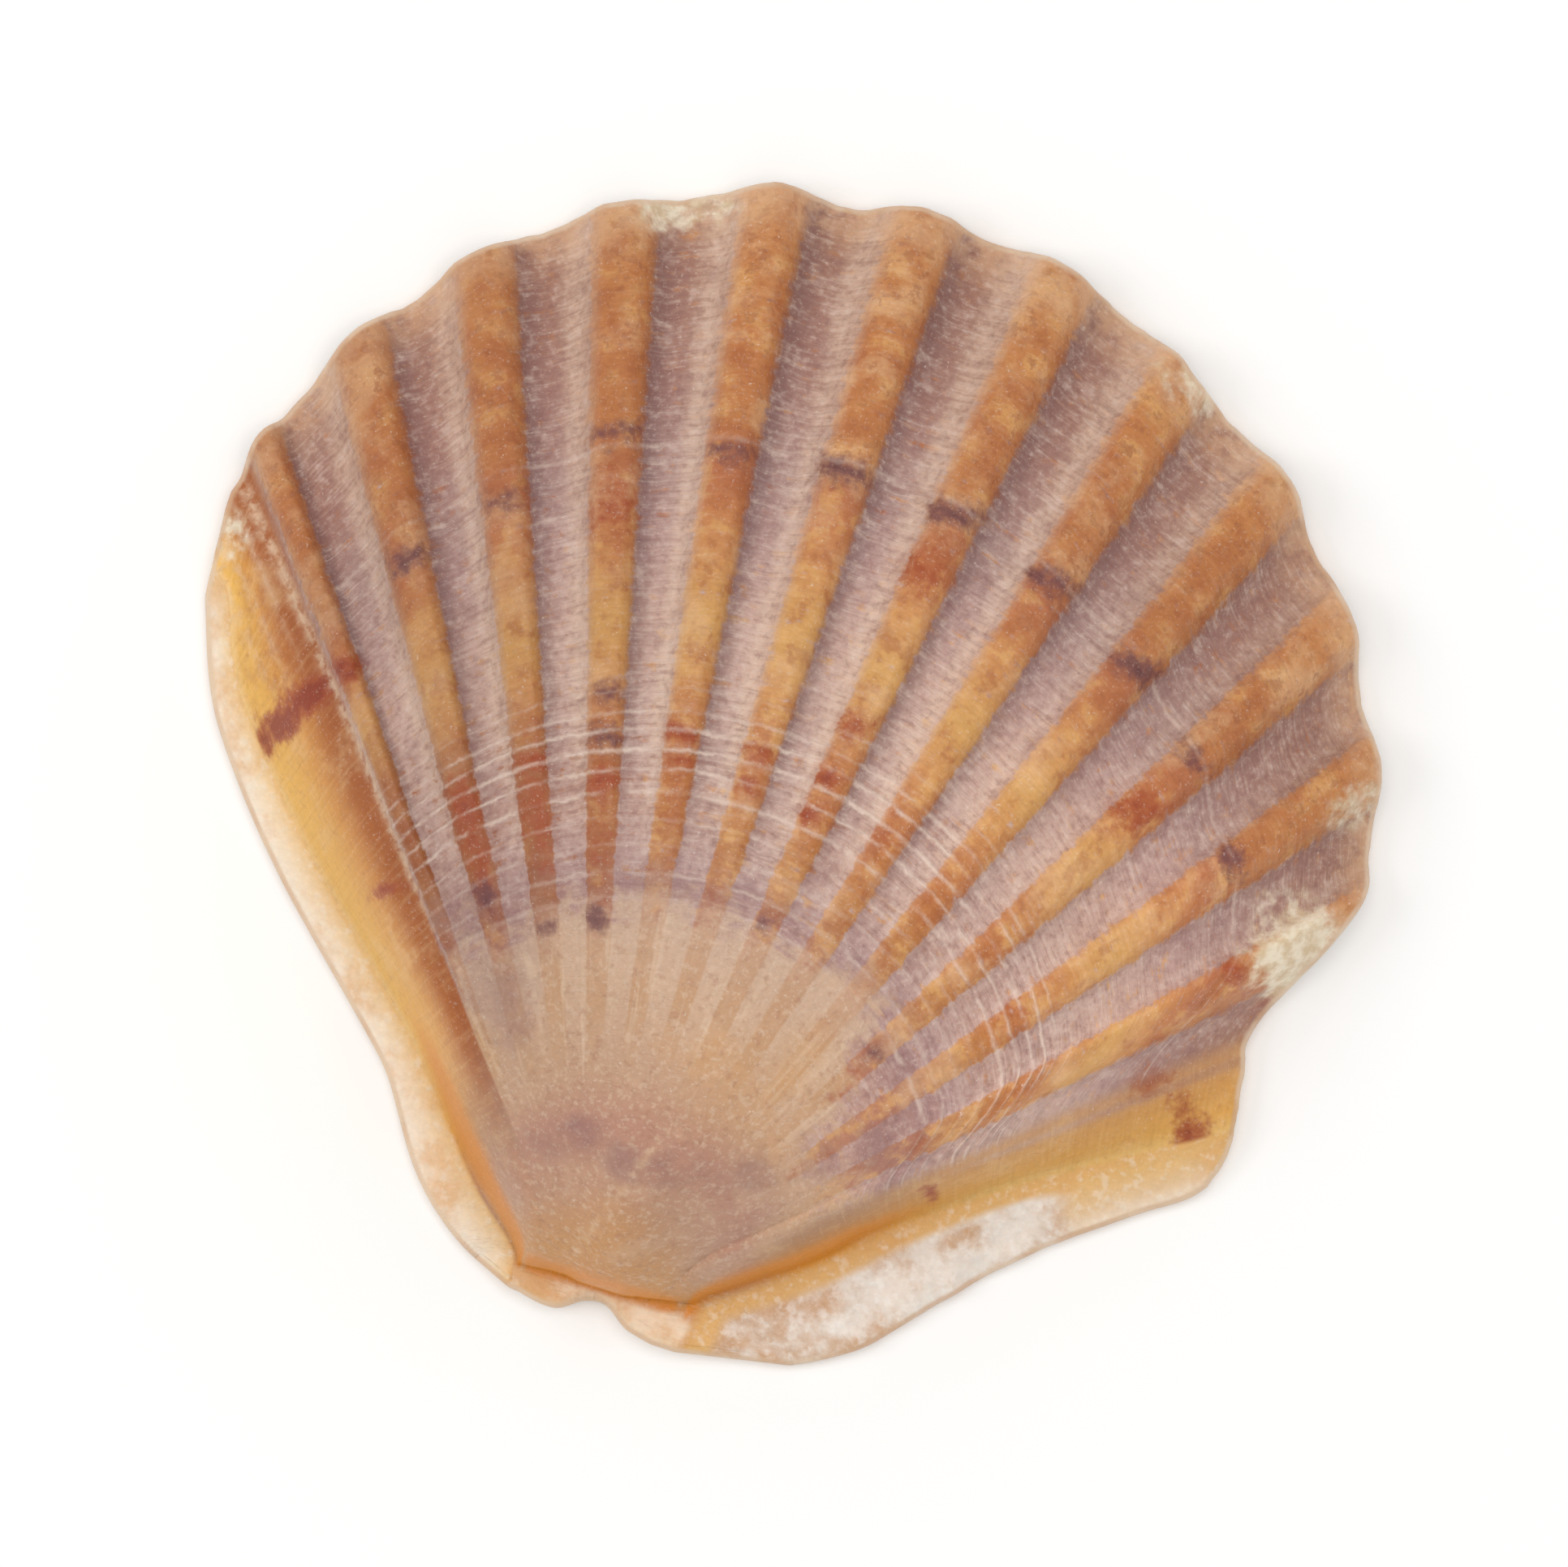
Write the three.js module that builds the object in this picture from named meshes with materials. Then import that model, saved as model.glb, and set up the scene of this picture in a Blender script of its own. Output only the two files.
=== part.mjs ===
// One valve of a beach-worn scallop shell, lying on its margin with the convex side up.
// Millimetres, +Z up. The hinge line runs along X and +Y points from the beak to the round margin.
// While the shape is worked out, places are measured from the beak: a distance along the table
// and an angle from +Y, positive towards +X. The last step moves the beak so that the valve
// stands centred on the origin.
import * as THREE from 'three';

// Round margin: a circle seen from above, with what the beach has broken off it.
const MARGIN = { x: 0.6, y: 20.8, radius: 24.2 };
const LEFT_CORNER_LOSS = { from: 40.5, perDegree: 0.33 };
const RIGHT_BREAK = { from: 43.5, full: 50.5, depth: 3.9, easesFrom: 51, perDegree: 0.2 };
const RIGHT_CORNER = { from: 57.5, over: 4, depth: 1.3 };
const MARGIN_CHIPS = [
  { angle: -14.5, halfWidth: 2.0, depth: 0.2 },
  { angle: -3.0, halfWidth: 2.6, depth: 0.25 },
  { angle: 16.5, halfWidth: 3.0, depth: 0.35 },
];

// Ribs: eleven even ones and a slim one beside the left flank, angles in degrees.
const RIB_PITCH = 7.68;
const FIRST_RIB = -30.7;
const EVEN_RIBS = 11;
const SLIM_RIB = { angle: -37.7, width: 0.6 };
const RIB_TOP = 0.12;          // half width of a rib's top, in pitches
const RIB_FOOT = 0.32;         // half width of a rib's foot, in pitches
const RIB_HEIGHT = 1.1;        // at the margin
const RIB_WORN = [0.3, 0.66];  // share of the way to the margin where wear ends
const RIB_OUTLINE = 0.45;      // how far the ribs stand out past the grooves at the margin
const INNER_RIB_HEIGHT = 0.8;
const INNER_RIB_FADE = [0.62, 0.97];

// Dome: height = peak * (q^power * (1 - q), with q from beak to margin, scaled to 1 at its top).
const DOME_HEIGHT = 12;
const DOME_POWER = 0.47;
const DOME_SIDES = 0.8;        // less than 1 keeps the dome full towards the shoulders
const FLANK_POWER = 1.7;

// Each flank leaves the ribs at the shoulder and falls to a crease, and a thin ledge runs on from
// the crease to the valve's edge. Crease and edge: [distance from the beak, angle], from where
// they leave the hinge edge.
const SIDES = {
  left: {
    sign: -1,
    shoulder: 40.5,
    crease: [[3.2, 90], [3.4, 76], [4, 68], [5, 63.5], [8, 56.5], [12, 52.8], [20, 49.3],
      [28, 46.7], [31.7, 43.8]],
    edge: [[4.8, 82], [8, 70], [11.4, 58.5], [14, 55.2], [21.8, 51.8], [27.7, 48.8], [31.7, 45.2]],
  },
  right: {
    sign: 1,
    shoulder: 48.5,
    crease: [[3.75, 98], [3.9, 82], [4.25, 72], [5.4, 67], [8.7, 62], [12.3, 58], [18, 57],
      [24.5, 57.5]],
    edge: [[8.2, 88], [11, 80], [12.8, 74], [15.5, 68.2], [18.2, 65], [22, 62.9], [24, 62.3],
      [24.9, 61.5]],
  },
};

// Beak: a blunt nose that rises at the foot line, behind a thin strip along the hinge edge, which
// is worn to a notch in the middle. Hinge: [x, y].
const NOSE = { halfWidth: 2.8, blendsOutBy: 6, footLine: 0.75 };
const HINGE = [[-4.75, 0.67], [-3.1, 0.05], [-1.4, -0.24], [-0.5, 0.3], [0.3, 0.5], [0.9, 0.35],
  [1.9, -0.3], [4.75, -0.64], [8.2, 0.29]];

// Wall.
const WALL = 1.3;
const STEEPEST = 0.36;         // smallest upward share of the normal that the wall follows
const MARGIN_LEVEL = 1.5;
const EDGE_LEVEL = 0.95;
const DETAIL_FROM = 0.5;       // share of the way where the margin's chips and ribs begin to count
const ARCH_FROM = 0.5;         // share past which slopes are measured backwards

// Mesh steps.
const ROWS = 22;
const ROW_CROWDING = 1.35;     // more than 1 sets the rows closer together near the beak
const FOOT_SHARE = (1 / ROWS) ** ROW_CROWDING; // share of the row that lies on the foot line
const FLANK_STEPS = 5;
const LEDGE_STEPS = 2;
const PROBE = 1e-3;

const radians = THREE.MathUtils.degToRad;
const { clamp, lerp, smoothstep } = THREE.MathUtils;

// Smooth curve through [at, value] pairs, held level past both ends.
function along(pairs, at) {
  const last = pairs.length - 1;
  if (at <= pairs[0][0]) return pairs[0][1];
  if (at >= pairs[last][0]) return pairs[last][1];
  const i = pairs.findIndex((pair, n) => n < last && at < pairs[n + 1][0]);
  const slope = (n) => {
    const [before, after] = [pairs[Math.max(n - 1, 0)], pairs[Math.min(n + 1, last)]];
    return (after[1] - before[1]) / (after[0] - before[0]);
  };
  const span = pairs[i + 1][0] - pairs[i][0];
  const t = (at - pairs[i][0]) / span;
  const [t2, t3] = [t * t, t * t * t];
  return (2 * t3 - 3 * t2 + 1) * pairs[i][1] + (t3 - 2 * t2 + t) * span * slope(i)
    + (3 * t2 - 2 * t3) * pairs[i + 1][1] + (t3 - t2) * span * slope(i + 1);
}

// 1 on a rib's top, 0 in a groove, at an angle from the beak.
function ribAt(angle) {
  const side = (centre, width) => {
    const off = Math.abs(angle - centre) / RIB_PITCH;
    return clamp((RIB_FOOT * width - off) / ((RIB_FOOT - RIB_TOP) * width), 0, 1);
  };
  let level = side(SLIM_RIB.angle, SLIM_RIB.width);
  for (let n = 0; n < EVEN_RIBS; n += 1) level = Math.max(level, side(FIRST_RIB + n * RIB_PITCH, 1));
  return level;
}

// Distance from the beak to the margin, without its fine detail.
function marginAt(angle) {
  const toCentre = MARGIN.x * Math.sin(radians(angle)) + MARGIN.y * Math.cos(radians(angle));
  const beyond = MARGIN.radius ** 2 - MARGIN.x ** 2 - MARGIN.y ** 2;
  const whole = toCentre + Math.sqrt(toCentre ** 2 + beyond);
  const left = LEFT_CORNER_LOSS.perDegree * Math.max(-angle - LEFT_CORNER_LOSS.from, 0);
  const right = RIGHT_BREAK.depth * smoothstep(angle, RIGHT_BREAK.from, RIGHT_BREAK.full)
    - RIGHT_BREAK.perDegree * Math.max(angle - RIGHT_BREAK.easesFrom, 0)
    + RIGHT_CORNER.depth * (Math.max(angle - RIGHT_CORNER.from, 0) / RIGHT_CORNER.over) ** 2;
  return whole - left - right;
}

// What the ribs and the chips add to the margin's line.
function marginDetail(angle) {
  const chips = MARGIN_CHIPS.reduce((sum, chip) => (
    sum + chip.depth * Math.exp(-(((angle - chip.angle) / chip.halfWidth) ** 2))), 0);
  return RIB_OUTLINE * (ribAt(angle) - 0.5) - chips;
}

// A column runs from the hinge edge to the margin: along a ray between the shoulders (flank and
// ledge 0), down a flank (flank 0 to 1), and over a ledge (ledge 0 to 1).
function columns() {
  const rays = [SIDES.left.shoulder * SIDES.left.sign, SIDES.right.shoulder];
  const steps = [-RIB_FOOT, -RIB_TOP, RIB_TOP, RIB_FOOT];
  for (const step of steps) rays.push(SLIM_RIB.angle + step * SLIM_RIB.width * RIB_PITCH);
  for (let n = 0; n < EVEN_RIBS; n += 1) {
    for (const step of steps) rays.push(FIRST_RIB + (n + step) * RIB_PITCH);
  }
  const fan = rays.filter((ray) => ray <= SIDES.right.shoulder).sort((a, b) => a - b)
    .map((ray) => ({ side: ray < 0 ? SIDES.left : SIDES.right, ray, flank: 0, ledge: 0 }));
  const outwards = (side) => {
    const ray = side.shoulder * side.sign;
    const flank = Array.from({ length: FLANK_STEPS }, (_, n) => (
      { side, ray, flank: (n + 1) / FLANK_STEPS, ledge: 0 }));
    const ledge = Array.from({ length: LEDGE_STEPS }, (_, n) => (
      { side, ray, flank: 1, ledge: (n + 1) / LEDGE_STEPS }));
    return [...flank, ...ledge];
  };
  return [...outwards(SIDES.left).reverse(), ...fan, ...outwards(SIDES.right)];
}

const polar = (distance, angle) => new THREE.Vector2(
  distance * Math.sin(radians(angle)), distance * Math.cos(radians(angle)));

// Place on a crease or an edge, a way along from where it leaves the hinge edge.
function lineAt(pairs, sign, way) {
  const distance = Math.hypot(way, pairs[0][0]);
  return polar(distance, sign * along(pairs, distance));
}

// Place on a ray, spread sideways at the beak to make the nose blunt.
function rayAt(side, ray, way) {
  const spread = Math.max(1 - way / NOSE.blendsOutBy, 0) ** 2;
  const x = NOSE.halfWidth * ray / side.shoulder;
  return polar(way, ray).add(new THREE.Vector2(x, along(HINGE, x)).multiplyScalar(spread));
}

// Distance along a ray from the hinge edge to the foot line.
function stripAt(side, ray) {
  return (NOSE.footLine - along(HINGE, NOSE.halfWidth * ray / side.shoulder)) / Math.cos(radians(ray));
}

// Distance along a column of a given length at share q, with FOOT_SHARE on the foot line.
function wayAt(column, q, length) {
  const strip = stripAt(column.side, column.ray);
  if (q < FOOT_SHARE) return strip * q / FOOT_SHARE;
  return lerp(strip, length, (q - FOOT_SHARE) / (1 - FOOT_SHARE));
}

// Angle at which a column meets the margin.
function endAt({ side, ray, flank, ledge }) {
  if (flank === 0) return ray;
  const [crease, edge] = [side.crease.at(-1)[1], side.edge.at(-1)[1]];
  return side.sign * (ledge > 0 ? lerp(crease, edge, ledge) : lerp(side.shoulder, crease, flank));
}

// Seen from above: the place at share q of the way from the hinge edge to the margin.
function placeAt(column, q) {
  const { side, ray, flank, ledge } = column;
  const end = endAt(column);
  const way = wayAt(column, q, marginAt(end)) + marginDetail(end) * smoothstep(q, DETAIL_FROM, 1);
  if (flank === 0) return rayAt(side, ray, way);
  const bottom = lineAt(side.crease, side.sign, way);
  if (ledge > 0) return bottom.lerp(lineAt(side.edge, side.sign, way), ledge);
  return rayAt(side, ray, way).lerp(bottom, flank);
}

// Smooth outer surface, without ribs, at share q of the way from the hinge edge to the margin.
function smoothOuter(column, q) {
  const length = marginAt(column.ray);
  const strip = stripAt(column.side, column.ray);
  const risen = Math.max(wayAt(column, q, length) - strip, 0) / (length - strip);
  const peak = DOME_POWER ** DOME_POWER / (1 + DOME_POWER) ** (1 + DOME_POWER);
  const dome = DOME_HEIGHT * (length * Math.cos(radians(column.ray)) / marginAt(0)) ** DOME_SIDES
    * risen ** DOME_POWER * (1 - risen) / peak;
  const fall = 1 - Math.min(column.flank, 1) ** FLANK_POWER;
  const place = placeAt(column, q);
  return new THREE.Vector3(place.x, place.y, lerp(MARGIN_LEVEL, EDGE_LEVEL, column.ledge) + dome * fall);
}

function nudged(column, step) {
  const next = { ...column };
  if (column.flank === 0) next.ray += step;
  else if (column.ledge > 0) next.ledge += step;
  else next.flank += step;
  return next;
}

// Outer and inner points of the wall at one place.
function wallAt(column, q) {
  const outer = smoothOuter(column, q);
  const across = smoothOuter(nudged(column, -PROBE), q).sub(outer);
  const forward = smoothOuter(column, q > ARCH_FROM ? q - PROBE : q + PROBE).sub(outer);
  const upward = Math.abs(across.cross(forward).normalize().z);
  const drop = WALL / Math.max(upward, STEEPEST);
  const rib = column.flank === 0 ? ribAt(column.ray) : 0;
  const inside = new THREE.Vector3(outer.x, outer.y, Math.max(outer.z - drop, 0)
    + INNER_RIB_HEIGHT * rib * smoothstep(q, ...INNER_RIB_FADE));
  outer.z += RIB_HEIGHT * rib * q * smoothstep(q, ...RIB_WORN);
  return { outer, inside };
}

// The closed body: the outer sheet, the inner sheet turned over, and the wall's edge between them.
function valveGeometry() {
  const across = columns();
  const points = [];
  const add = (point) => points.push(point.x, point.y, point.z) / 3 - 1;
  const shares = Array.from({ length: ROWS + 1 }, (_, row) => (row / ROWS) ** ROW_CROWDING);
  const grid = across.map((column) => shares.map((q) => {
    const wall = wallAt(column, q);
    return { outer: add(wall.outer), inside: add(wall.inside) };
  }));

  const faces = [];
  const quad = (a, b, c, d) => faces.push(a, b, c, a, c, d);
  for (let n = 0; n + 1 < grid.length; n += 1) {
    for (let row = 0; row < ROWS; row += 1) {
      const [a, b, c, d] = [grid[n][row], grid[n + 1][row], grid[n + 1][row + 1], grid[n][row + 1]];
      quad(a.outer, b.outer, c.outer, d.outer);
      quad(b.inside, a.inside, d.inside, c.inside);
    }
  }
  const rim = [...grid[0], ...grid.slice(1).map((line) => line[ROWS]),
    ...grid.at(-1).slice(0, ROWS).reverse(), ...grid.slice(1, -1).map((line) => line[0]).reverse()];
  for (let n = 0; n < rim.length; n += 1) {
    const next = rim[(n + 1) % rim.length];
    quad(rim[n].outer, next.outer, next.inside, rim[n].inside);
  }

  const geometry = new THREE.BufferGeometry();
  geometry.setAttribute('position', new THREE.Float32BufferAttribute(points, 3));
  geometry.setIndex(faces);
  geometry.computeBoundingBox();
  const { min, max } = geometry.boundingBox;
  geometry.translate(-(min.x + max.x) / 2, -(min.y + max.y) / 2, -min.z);
  geometry.computeVertexNormals();
  return geometry;
}

const shell = new THREE.MeshStandardMaterial({ color: 0xc98f66, roughness: 0.5, metalness: 0 });
const valve = new THREE.Mesh(valveGeometry(), shell);
valve.name = 'scallop_valve';

const scallop = new THREE.Group();
scallop.add(valve);
export default scallop;
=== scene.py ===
"""One valve of a beach-worn scallop shell, lying on its margin with the convex side up.

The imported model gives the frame, the resting place and the size. The fine surface is worked out
here as whole numpy arrays: the valve is a grid of columns, which run from the hinge edge to the
round margin, and rows, which follow the growth lines. Lengths in the classes are millimetres
measured from the beak, +Y towards the margin, and the last step puts the mesh in the frame.
"""

from __future__ import annotations

import logging
import math
from dataclasses import dataclass, field
from enum import Enum

import bpy
import numpy as np
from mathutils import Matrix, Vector

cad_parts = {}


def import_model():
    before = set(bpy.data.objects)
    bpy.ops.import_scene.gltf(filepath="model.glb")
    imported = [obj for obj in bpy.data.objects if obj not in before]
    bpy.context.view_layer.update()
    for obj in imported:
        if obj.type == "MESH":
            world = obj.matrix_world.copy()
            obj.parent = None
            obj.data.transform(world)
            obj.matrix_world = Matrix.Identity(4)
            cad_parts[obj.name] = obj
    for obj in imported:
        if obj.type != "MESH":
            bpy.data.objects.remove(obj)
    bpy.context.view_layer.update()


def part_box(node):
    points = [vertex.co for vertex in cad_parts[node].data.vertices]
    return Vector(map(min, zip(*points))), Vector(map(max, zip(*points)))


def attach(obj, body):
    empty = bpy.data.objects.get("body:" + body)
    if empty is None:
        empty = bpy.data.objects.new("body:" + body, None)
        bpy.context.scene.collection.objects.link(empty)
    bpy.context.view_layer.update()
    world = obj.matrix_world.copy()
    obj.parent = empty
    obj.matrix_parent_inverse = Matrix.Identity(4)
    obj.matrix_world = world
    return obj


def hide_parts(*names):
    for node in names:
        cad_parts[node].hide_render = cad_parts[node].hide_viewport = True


Span = tuple[float, float]

LOG = logging.getLogger("scallop")
MM = 0.001
NODE = "scallop_valve"
# Fields that the mesh stores on its vertices and the finish reads.
STORED = (
    "growth", "pigment", "phase", "lit_side", "dim_side", "riblets", "strip", "scratch", "hinge",
    "trend", "lip", "flank", "ledge", "amber", "left", "near", "mottle", "worn", "dusk", "mauve",
    "rust", "plum", "cream", "border", "pearl", "sheet",
)


class Sheet(Enum):
    """Which skin of the wall a vertex belongs to."""

    OUTER = 0.0
    RIM = 0.5
    INNER = 1.0


# ---------------------------------------------------------------------------------------------
# Small numeric helpers
# ---------------------------------------------------------------------------------------------


def smoothstep(x: np.ndarray, low: float, high: float) -> np.ndarray:
    """Rise smoothly from 0 at low to 1 at high, as 3t^2 - 2t^3."""
    t = np.clip((x - low) / (high - low), 0.0, 1.0)
    return t * t * (3.0 - 2.0 * t)


def bell(x: np.ndarray, centre: float, half_width: float) -> np.ndarray:
    """Bell curve of height 1, exp(-((x - centre) / half_width)^2)."""
    return np.exp(-(((x - centre) / half_width) ** 2))


def window(x: np.ndarray, rise: Span, fall: Span) -> np.ndarray:
    """Rise from 0 to 1 over the first span and fall back to 0 over the second."""
    return smoothstep(x, *rise) * (1.0 - smoothstep(x, *fall))


def along(pairs: tuple[Span, ...], at: np.ndarray) -> np.ndarray:
    """Read a smooth curve through a few pairs, held level past both ends.

    Each stretch is a cubic whose slope at a pair is that of the chord between its neighbours.

    Args:
        pairs: (position, value) in rising order of position.
        at: positions to read.

    Returns:
        Values, in the shape of at.
    """
    x, y = np.array(pairs).T
    order, last = np.arange(len(x)), len(x) - 1
    before, after = np.maximum(order - 1, 0), np.minimum(order + 1, last)
    slope = (y[after] - y[before]) / (x[after] - x[before])
    at = np.clip(at, x[0], x[-1])
    i = np.clip(np.searchsorted(x, at, side="right") - 1, 0, last - 1)
    span = x[i + 1] - x[i]
    t = (at - x[i]) / span
    return (
        (2 * t**3 - 3 * t**2 + 1) * y[i]
        + (t**3 - 2 * t**2 + t) * span * slope[i]
        + (3 * t**2 - 2 * t**3) * y[i + 1]
        + (t**3 - t**2) * span * slope[i + 1]
    )


@dataclass(frozen=True)
class Grain:
    """Smooth random field on the plane: random lattice values joined by smoothstep weights."""

    seed: int
    size: float
    octaves: int = 2
    lattice_size: int = 256
    octave_shift: Span = (17.3, 5.1)

    def at(self, x: np.ndarray, y: np.ndarray) -> np.ndarray:
        """Read the field.

        Args:
            x: places across, in the units of size.
            y: places along, in the units of size.

        Returns:
            Values from about -1 to 1, each octave at half the size and half the strength.
        """
        n = self.lattice_size
        lattice = np.random.default_rng(self.seed).uniform(-1.0, 1.0, (n, n))
        total = np.zeros(np.broadcast(x, y).shape)
        for octave in range(self.octaves):
            u, v = (
                places / self.size * 2**octave + shift * octave
                for places, shift in zip((x, y), self.octave_shift)
            )
            i, j = np.floor(u).astype(int), np.floor(v).astype(int)
            s, t = smoothstep(u - i, 0.0, 1.0), smoothstep(v - j, 0.0, 1.0)
            low, high = (
                lattice[i % n, row % n] * (1 - s) + lattice[(i + 1) % n, row % n] * s for row in (j, j + 1)
            )
            total += (low * (1 - t) + high * t) / 2**octave
        return total


# ---------------------------------------------------------------------------------------------
# Shape of the valve
# ---------------------------------------------------------------------------------------------


@dataclass(frozen=True)
class Margin:
    """Round margin: a circle seen from above, with what the beach has broken off it."""

    x: float = 0.6
    y: float = 20.8
    radius: float = 24.2
    left_loss_from: float = 40.5
    left_loss_per_degree: float = 0.33
    break_from: float = 43.5
    break_full: float = 50.5
    break_depth: float = 3.9
    break_eases_from: float = 51.0
    break_per_degree: float = 0.2
    corner_from: float = 57.5
    corner_loss: float = 1.3
    corner_width: float = 4.0
    chips: tuple[tuple[float, float, float], ...] = (
        (-14.5, 2.0, 0.2),
        (-3.0, 2.6, 0.25),
        (16.5, 3.0, 0.35),
    )
    rib_outline: float = 0.45
    ragged: Grain = Grain(seed=11, size=1.6, octaves=3)
    ragged_by: float = 0.07

    def reach(self, angle: np.ndarray) -> np.ndarray:
        """Distance from the beak to the margin, where a ray meets the circle, less the losses.

        Args:
            angle: degrees from +Y, positive towards +X.

        Returns:
            Distances in millimetres.
        """
        towards = self.x * np.sin(np.radians(angle)) + self.y * np.cos(np.radians(angle))
        beyond = self.radius**2 - self.x**2 - self.y**2
        whole = towards + np.sqrt(towards**2 + beyond)
        left = self.left_loss_per_degree * np.maximum(-angle - self.left_loss_from, 0.0)
        right = self.break_depth * smoothstep(angle, self.break_from, self.break_full)
        right = right - self.break_per_degree * np.maximum(angle - self.break_eases_from, 0.0)
        corner = np.maximum(angle - self.corner_from, 0.0) / self.corner_width
        right = right + self.corner_loss * corner**2
        return whole - left - right

    def detail(self, angle: np.ndarray, rib: np.ndarray) -> np.ndarray:
        """What the margin's line adds to its reach.

        The ribs stand out a little past the grooves, the chips are bells cut into the edge, and
        a fine ragged line runs along the whole of it.

        Args:
            angle: degrees from +Y, positive towards +X.
            rib: rib level at those angles, 0 to 1.

        Returns:
            Distances in millimetres.
        """
        chips = sum(depth * bell(angle, at, width) for at, width, depth in self.chips)
        ragged = self.ragged_by * self.ragged.at(angle, np.zeros_like(angle))
        return self.rib_outline * (rib - 0.5) - chips + ragged


@dataclass(frozen=True)
class Ribs:
    """Eleven even ribs and a slim one beside the left flank."""

    pitch: float = 7.68
    first: float = -30.7
    count: int = 11
    slim_angle: float = -37.7
    slim_width: float = 0.6
    top: float = 0.11
    foot: float = 0.33
    height: float = 1.1
    crown: float = 0.16
    arch_foot: float = 0.46
    worn_until: float = 0.30
    whole_from: float = 0.66
    inner_height: float = 0.8
    inner_from: float = 0.62
    inner_full: float = 0.97

    def level(self, angle: np.ndarray) -> np.ndarray:
        """Rib level at an angle: 1 on a rib's top, 0 in a groove, with rounded shoulders.

        Args:
            angle: degrees from +Y, positive towards +X.

        Returns:
            Numbers from 0 to 1.
        """
        centres = [(self.first + n * self.pitch, 1.0) for n in range(self.count)]
        centres.append((self.slim_angle, self.slim_width))
        level = np.zeros_like(angle)
        for centre, width in centres:
            off = np.abs(angle - centre) / (self.pitch * width)
            level = np.maximum(level, 1.0 - smoothstep(off, self.top, self.foot))
        return level

    def arch(self, angle: np.ndarray) -> np.ndarray:
        """Rounder rib level, for the margin's line and the hollow under each rib."""
        off = np.abs(self.off_centre(angle))
        inside = (off < 0.5) & (angle < self.first + (self.count - 0.5) * self.pitch)
        return (1.0 - smoothstep(off, 0.0, self.arch_foot)) * inside

    def crowned(self, angle: np.ndarray) -> np.ndarray:
        """Rib profile: the level, with its top rounded by a parabola across the rib."""
        phase = self.phase(angle)
        off = phase - np.round(phase)
        return self.level(angle) * (1.0 + self.crown * (1.0 - (off / self.foot) ** 2))

    def off_centre(self, angle: np.ndarray) -> np.ndarray:
        """Distance from the nearest rib's middle in pitches, negative on its left."""
        even = self.phase(angle) - np.round(self.phase(angle))
        slim = (angle - self.slim_angle) / (self.pitch * self.slim_width)
        return np.where(angle < self.first - self.pitch / 2, slim, even)

    def phase(self, angle: np.ndarray) -> np.ndarray:
        """Position across the fan in pitches, a whole number on each even rib's middle."""
        return (angle - self.first) / self.pitch

    def strength(self, q: np.ndarray) -> np.ndarray:
        """How much of the rib's height the wear has left, from 0 at the beak to 1 at the margin."""
        return q * smoothstep(q, self.worn_until, self.whole_from)


@dataclass(frozen=True)
class Side:
    """One side of the valve: a flank from the shoulder to a crease, and a ledge to the edge.

    Creases and edges are (distance from the beak, degrees from +Y) pairs.
    """

    sign: int
    shoulder: float
    crease: tuple[Span, ...]
    edge: tuple[Span, ...]


LEFT = Side(
    sign=-1,
    shoulder=40.5,
    crease=(
        (3.2, 90), (3.4, 76), (4.0, 68), (5, 63.8), (6.2, 60.8), (8.5, 55.8), (11.5, 51.6),
        (16, 49.6), (20, 48.9), (28, 46.7), (31.7, 43.8),
    ),
    edge=((4.8, 82), (8, 70), (11.4, 58.5), (14, 55.2), (21.8, 51.8), (27.7, 48.8), (31.7, 45.2)),
)
RIGHT = Side(
    sign=1,
    shoulder=48.5,
    crease=((3.75, 98), (3.9, 82), (4.25, 72), (5.4, 67), (8.7, 62), (12.3, 58), (18, 57), (24.5, 57.5)),
    edge=((8.2, 88), (11, 80), (12.8, 74), (15.5, 68.2), (18.2, 65), (22, 62.9), (24, 62.3), (24.9, 61.5)),
)


@dataclass(frozen=True)
class Nose:
    """Beak: a blunt nose, on a hinge edge worn to a notch in the middle.

    The hinge edge is a thin strip that the nose rises from at the foot line.
    """

    half_width: float = 2.8
    blends_out_by: float = 6.0
    foot_line: float = 0.75
    hinge: tuple[Span, ...] = (
        (-4.75, 0.67),
        (-3.1, 0.05),
        (-1.4, -0.24),
        (-0.5, 0.3),
        (0.3, 0.5),
        (0.9, 0.35),
        (1.9, -0.3),
        (4.75, -0.64),
        (8.2, 0.29),
    )


@dataclass(frozen=True)
class Dome:
    """Rise of the wall: peak * q^power * (1 - q), less towards the sides and down the flanks."""

    height: float = 12.0
    power: float = 0.47
    sides: float = 0.8
    flank_power: float = 1.7
    beak_flank_power: float = 2.0
    beak_flank: Span = (9.0, 20.0)

    def fall_power(self, way: np.ndarray) -> np.ndarray:
        """Power that the flank falls by: rounder at its top beside the beak."""
        near = 1.0 - smoothstep(way, *self.beak_flank)
        return self.flank_power + (self.beak_flank_power - self.flank_power) * near

    def rise(self, q: np.ndarray) -> np.ndarray:
        """Share of the height at share q of the way from the beak to the margin."""
        peak = self.power**self.power / (1.0 + self.power) ** (1.0 + self.power)
        return q**self.power * (1.0 - q) / peak


@dataclass(frozen=True)
class Wall:
    """Thickness of the wall and the level of its upper edge."""

    thickness: float = 1.3
    steepest: float = 0.36
    margin_level: float = 1.5
    edge_level: float = 0.95
    rim_bulge: float = 0.34


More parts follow.
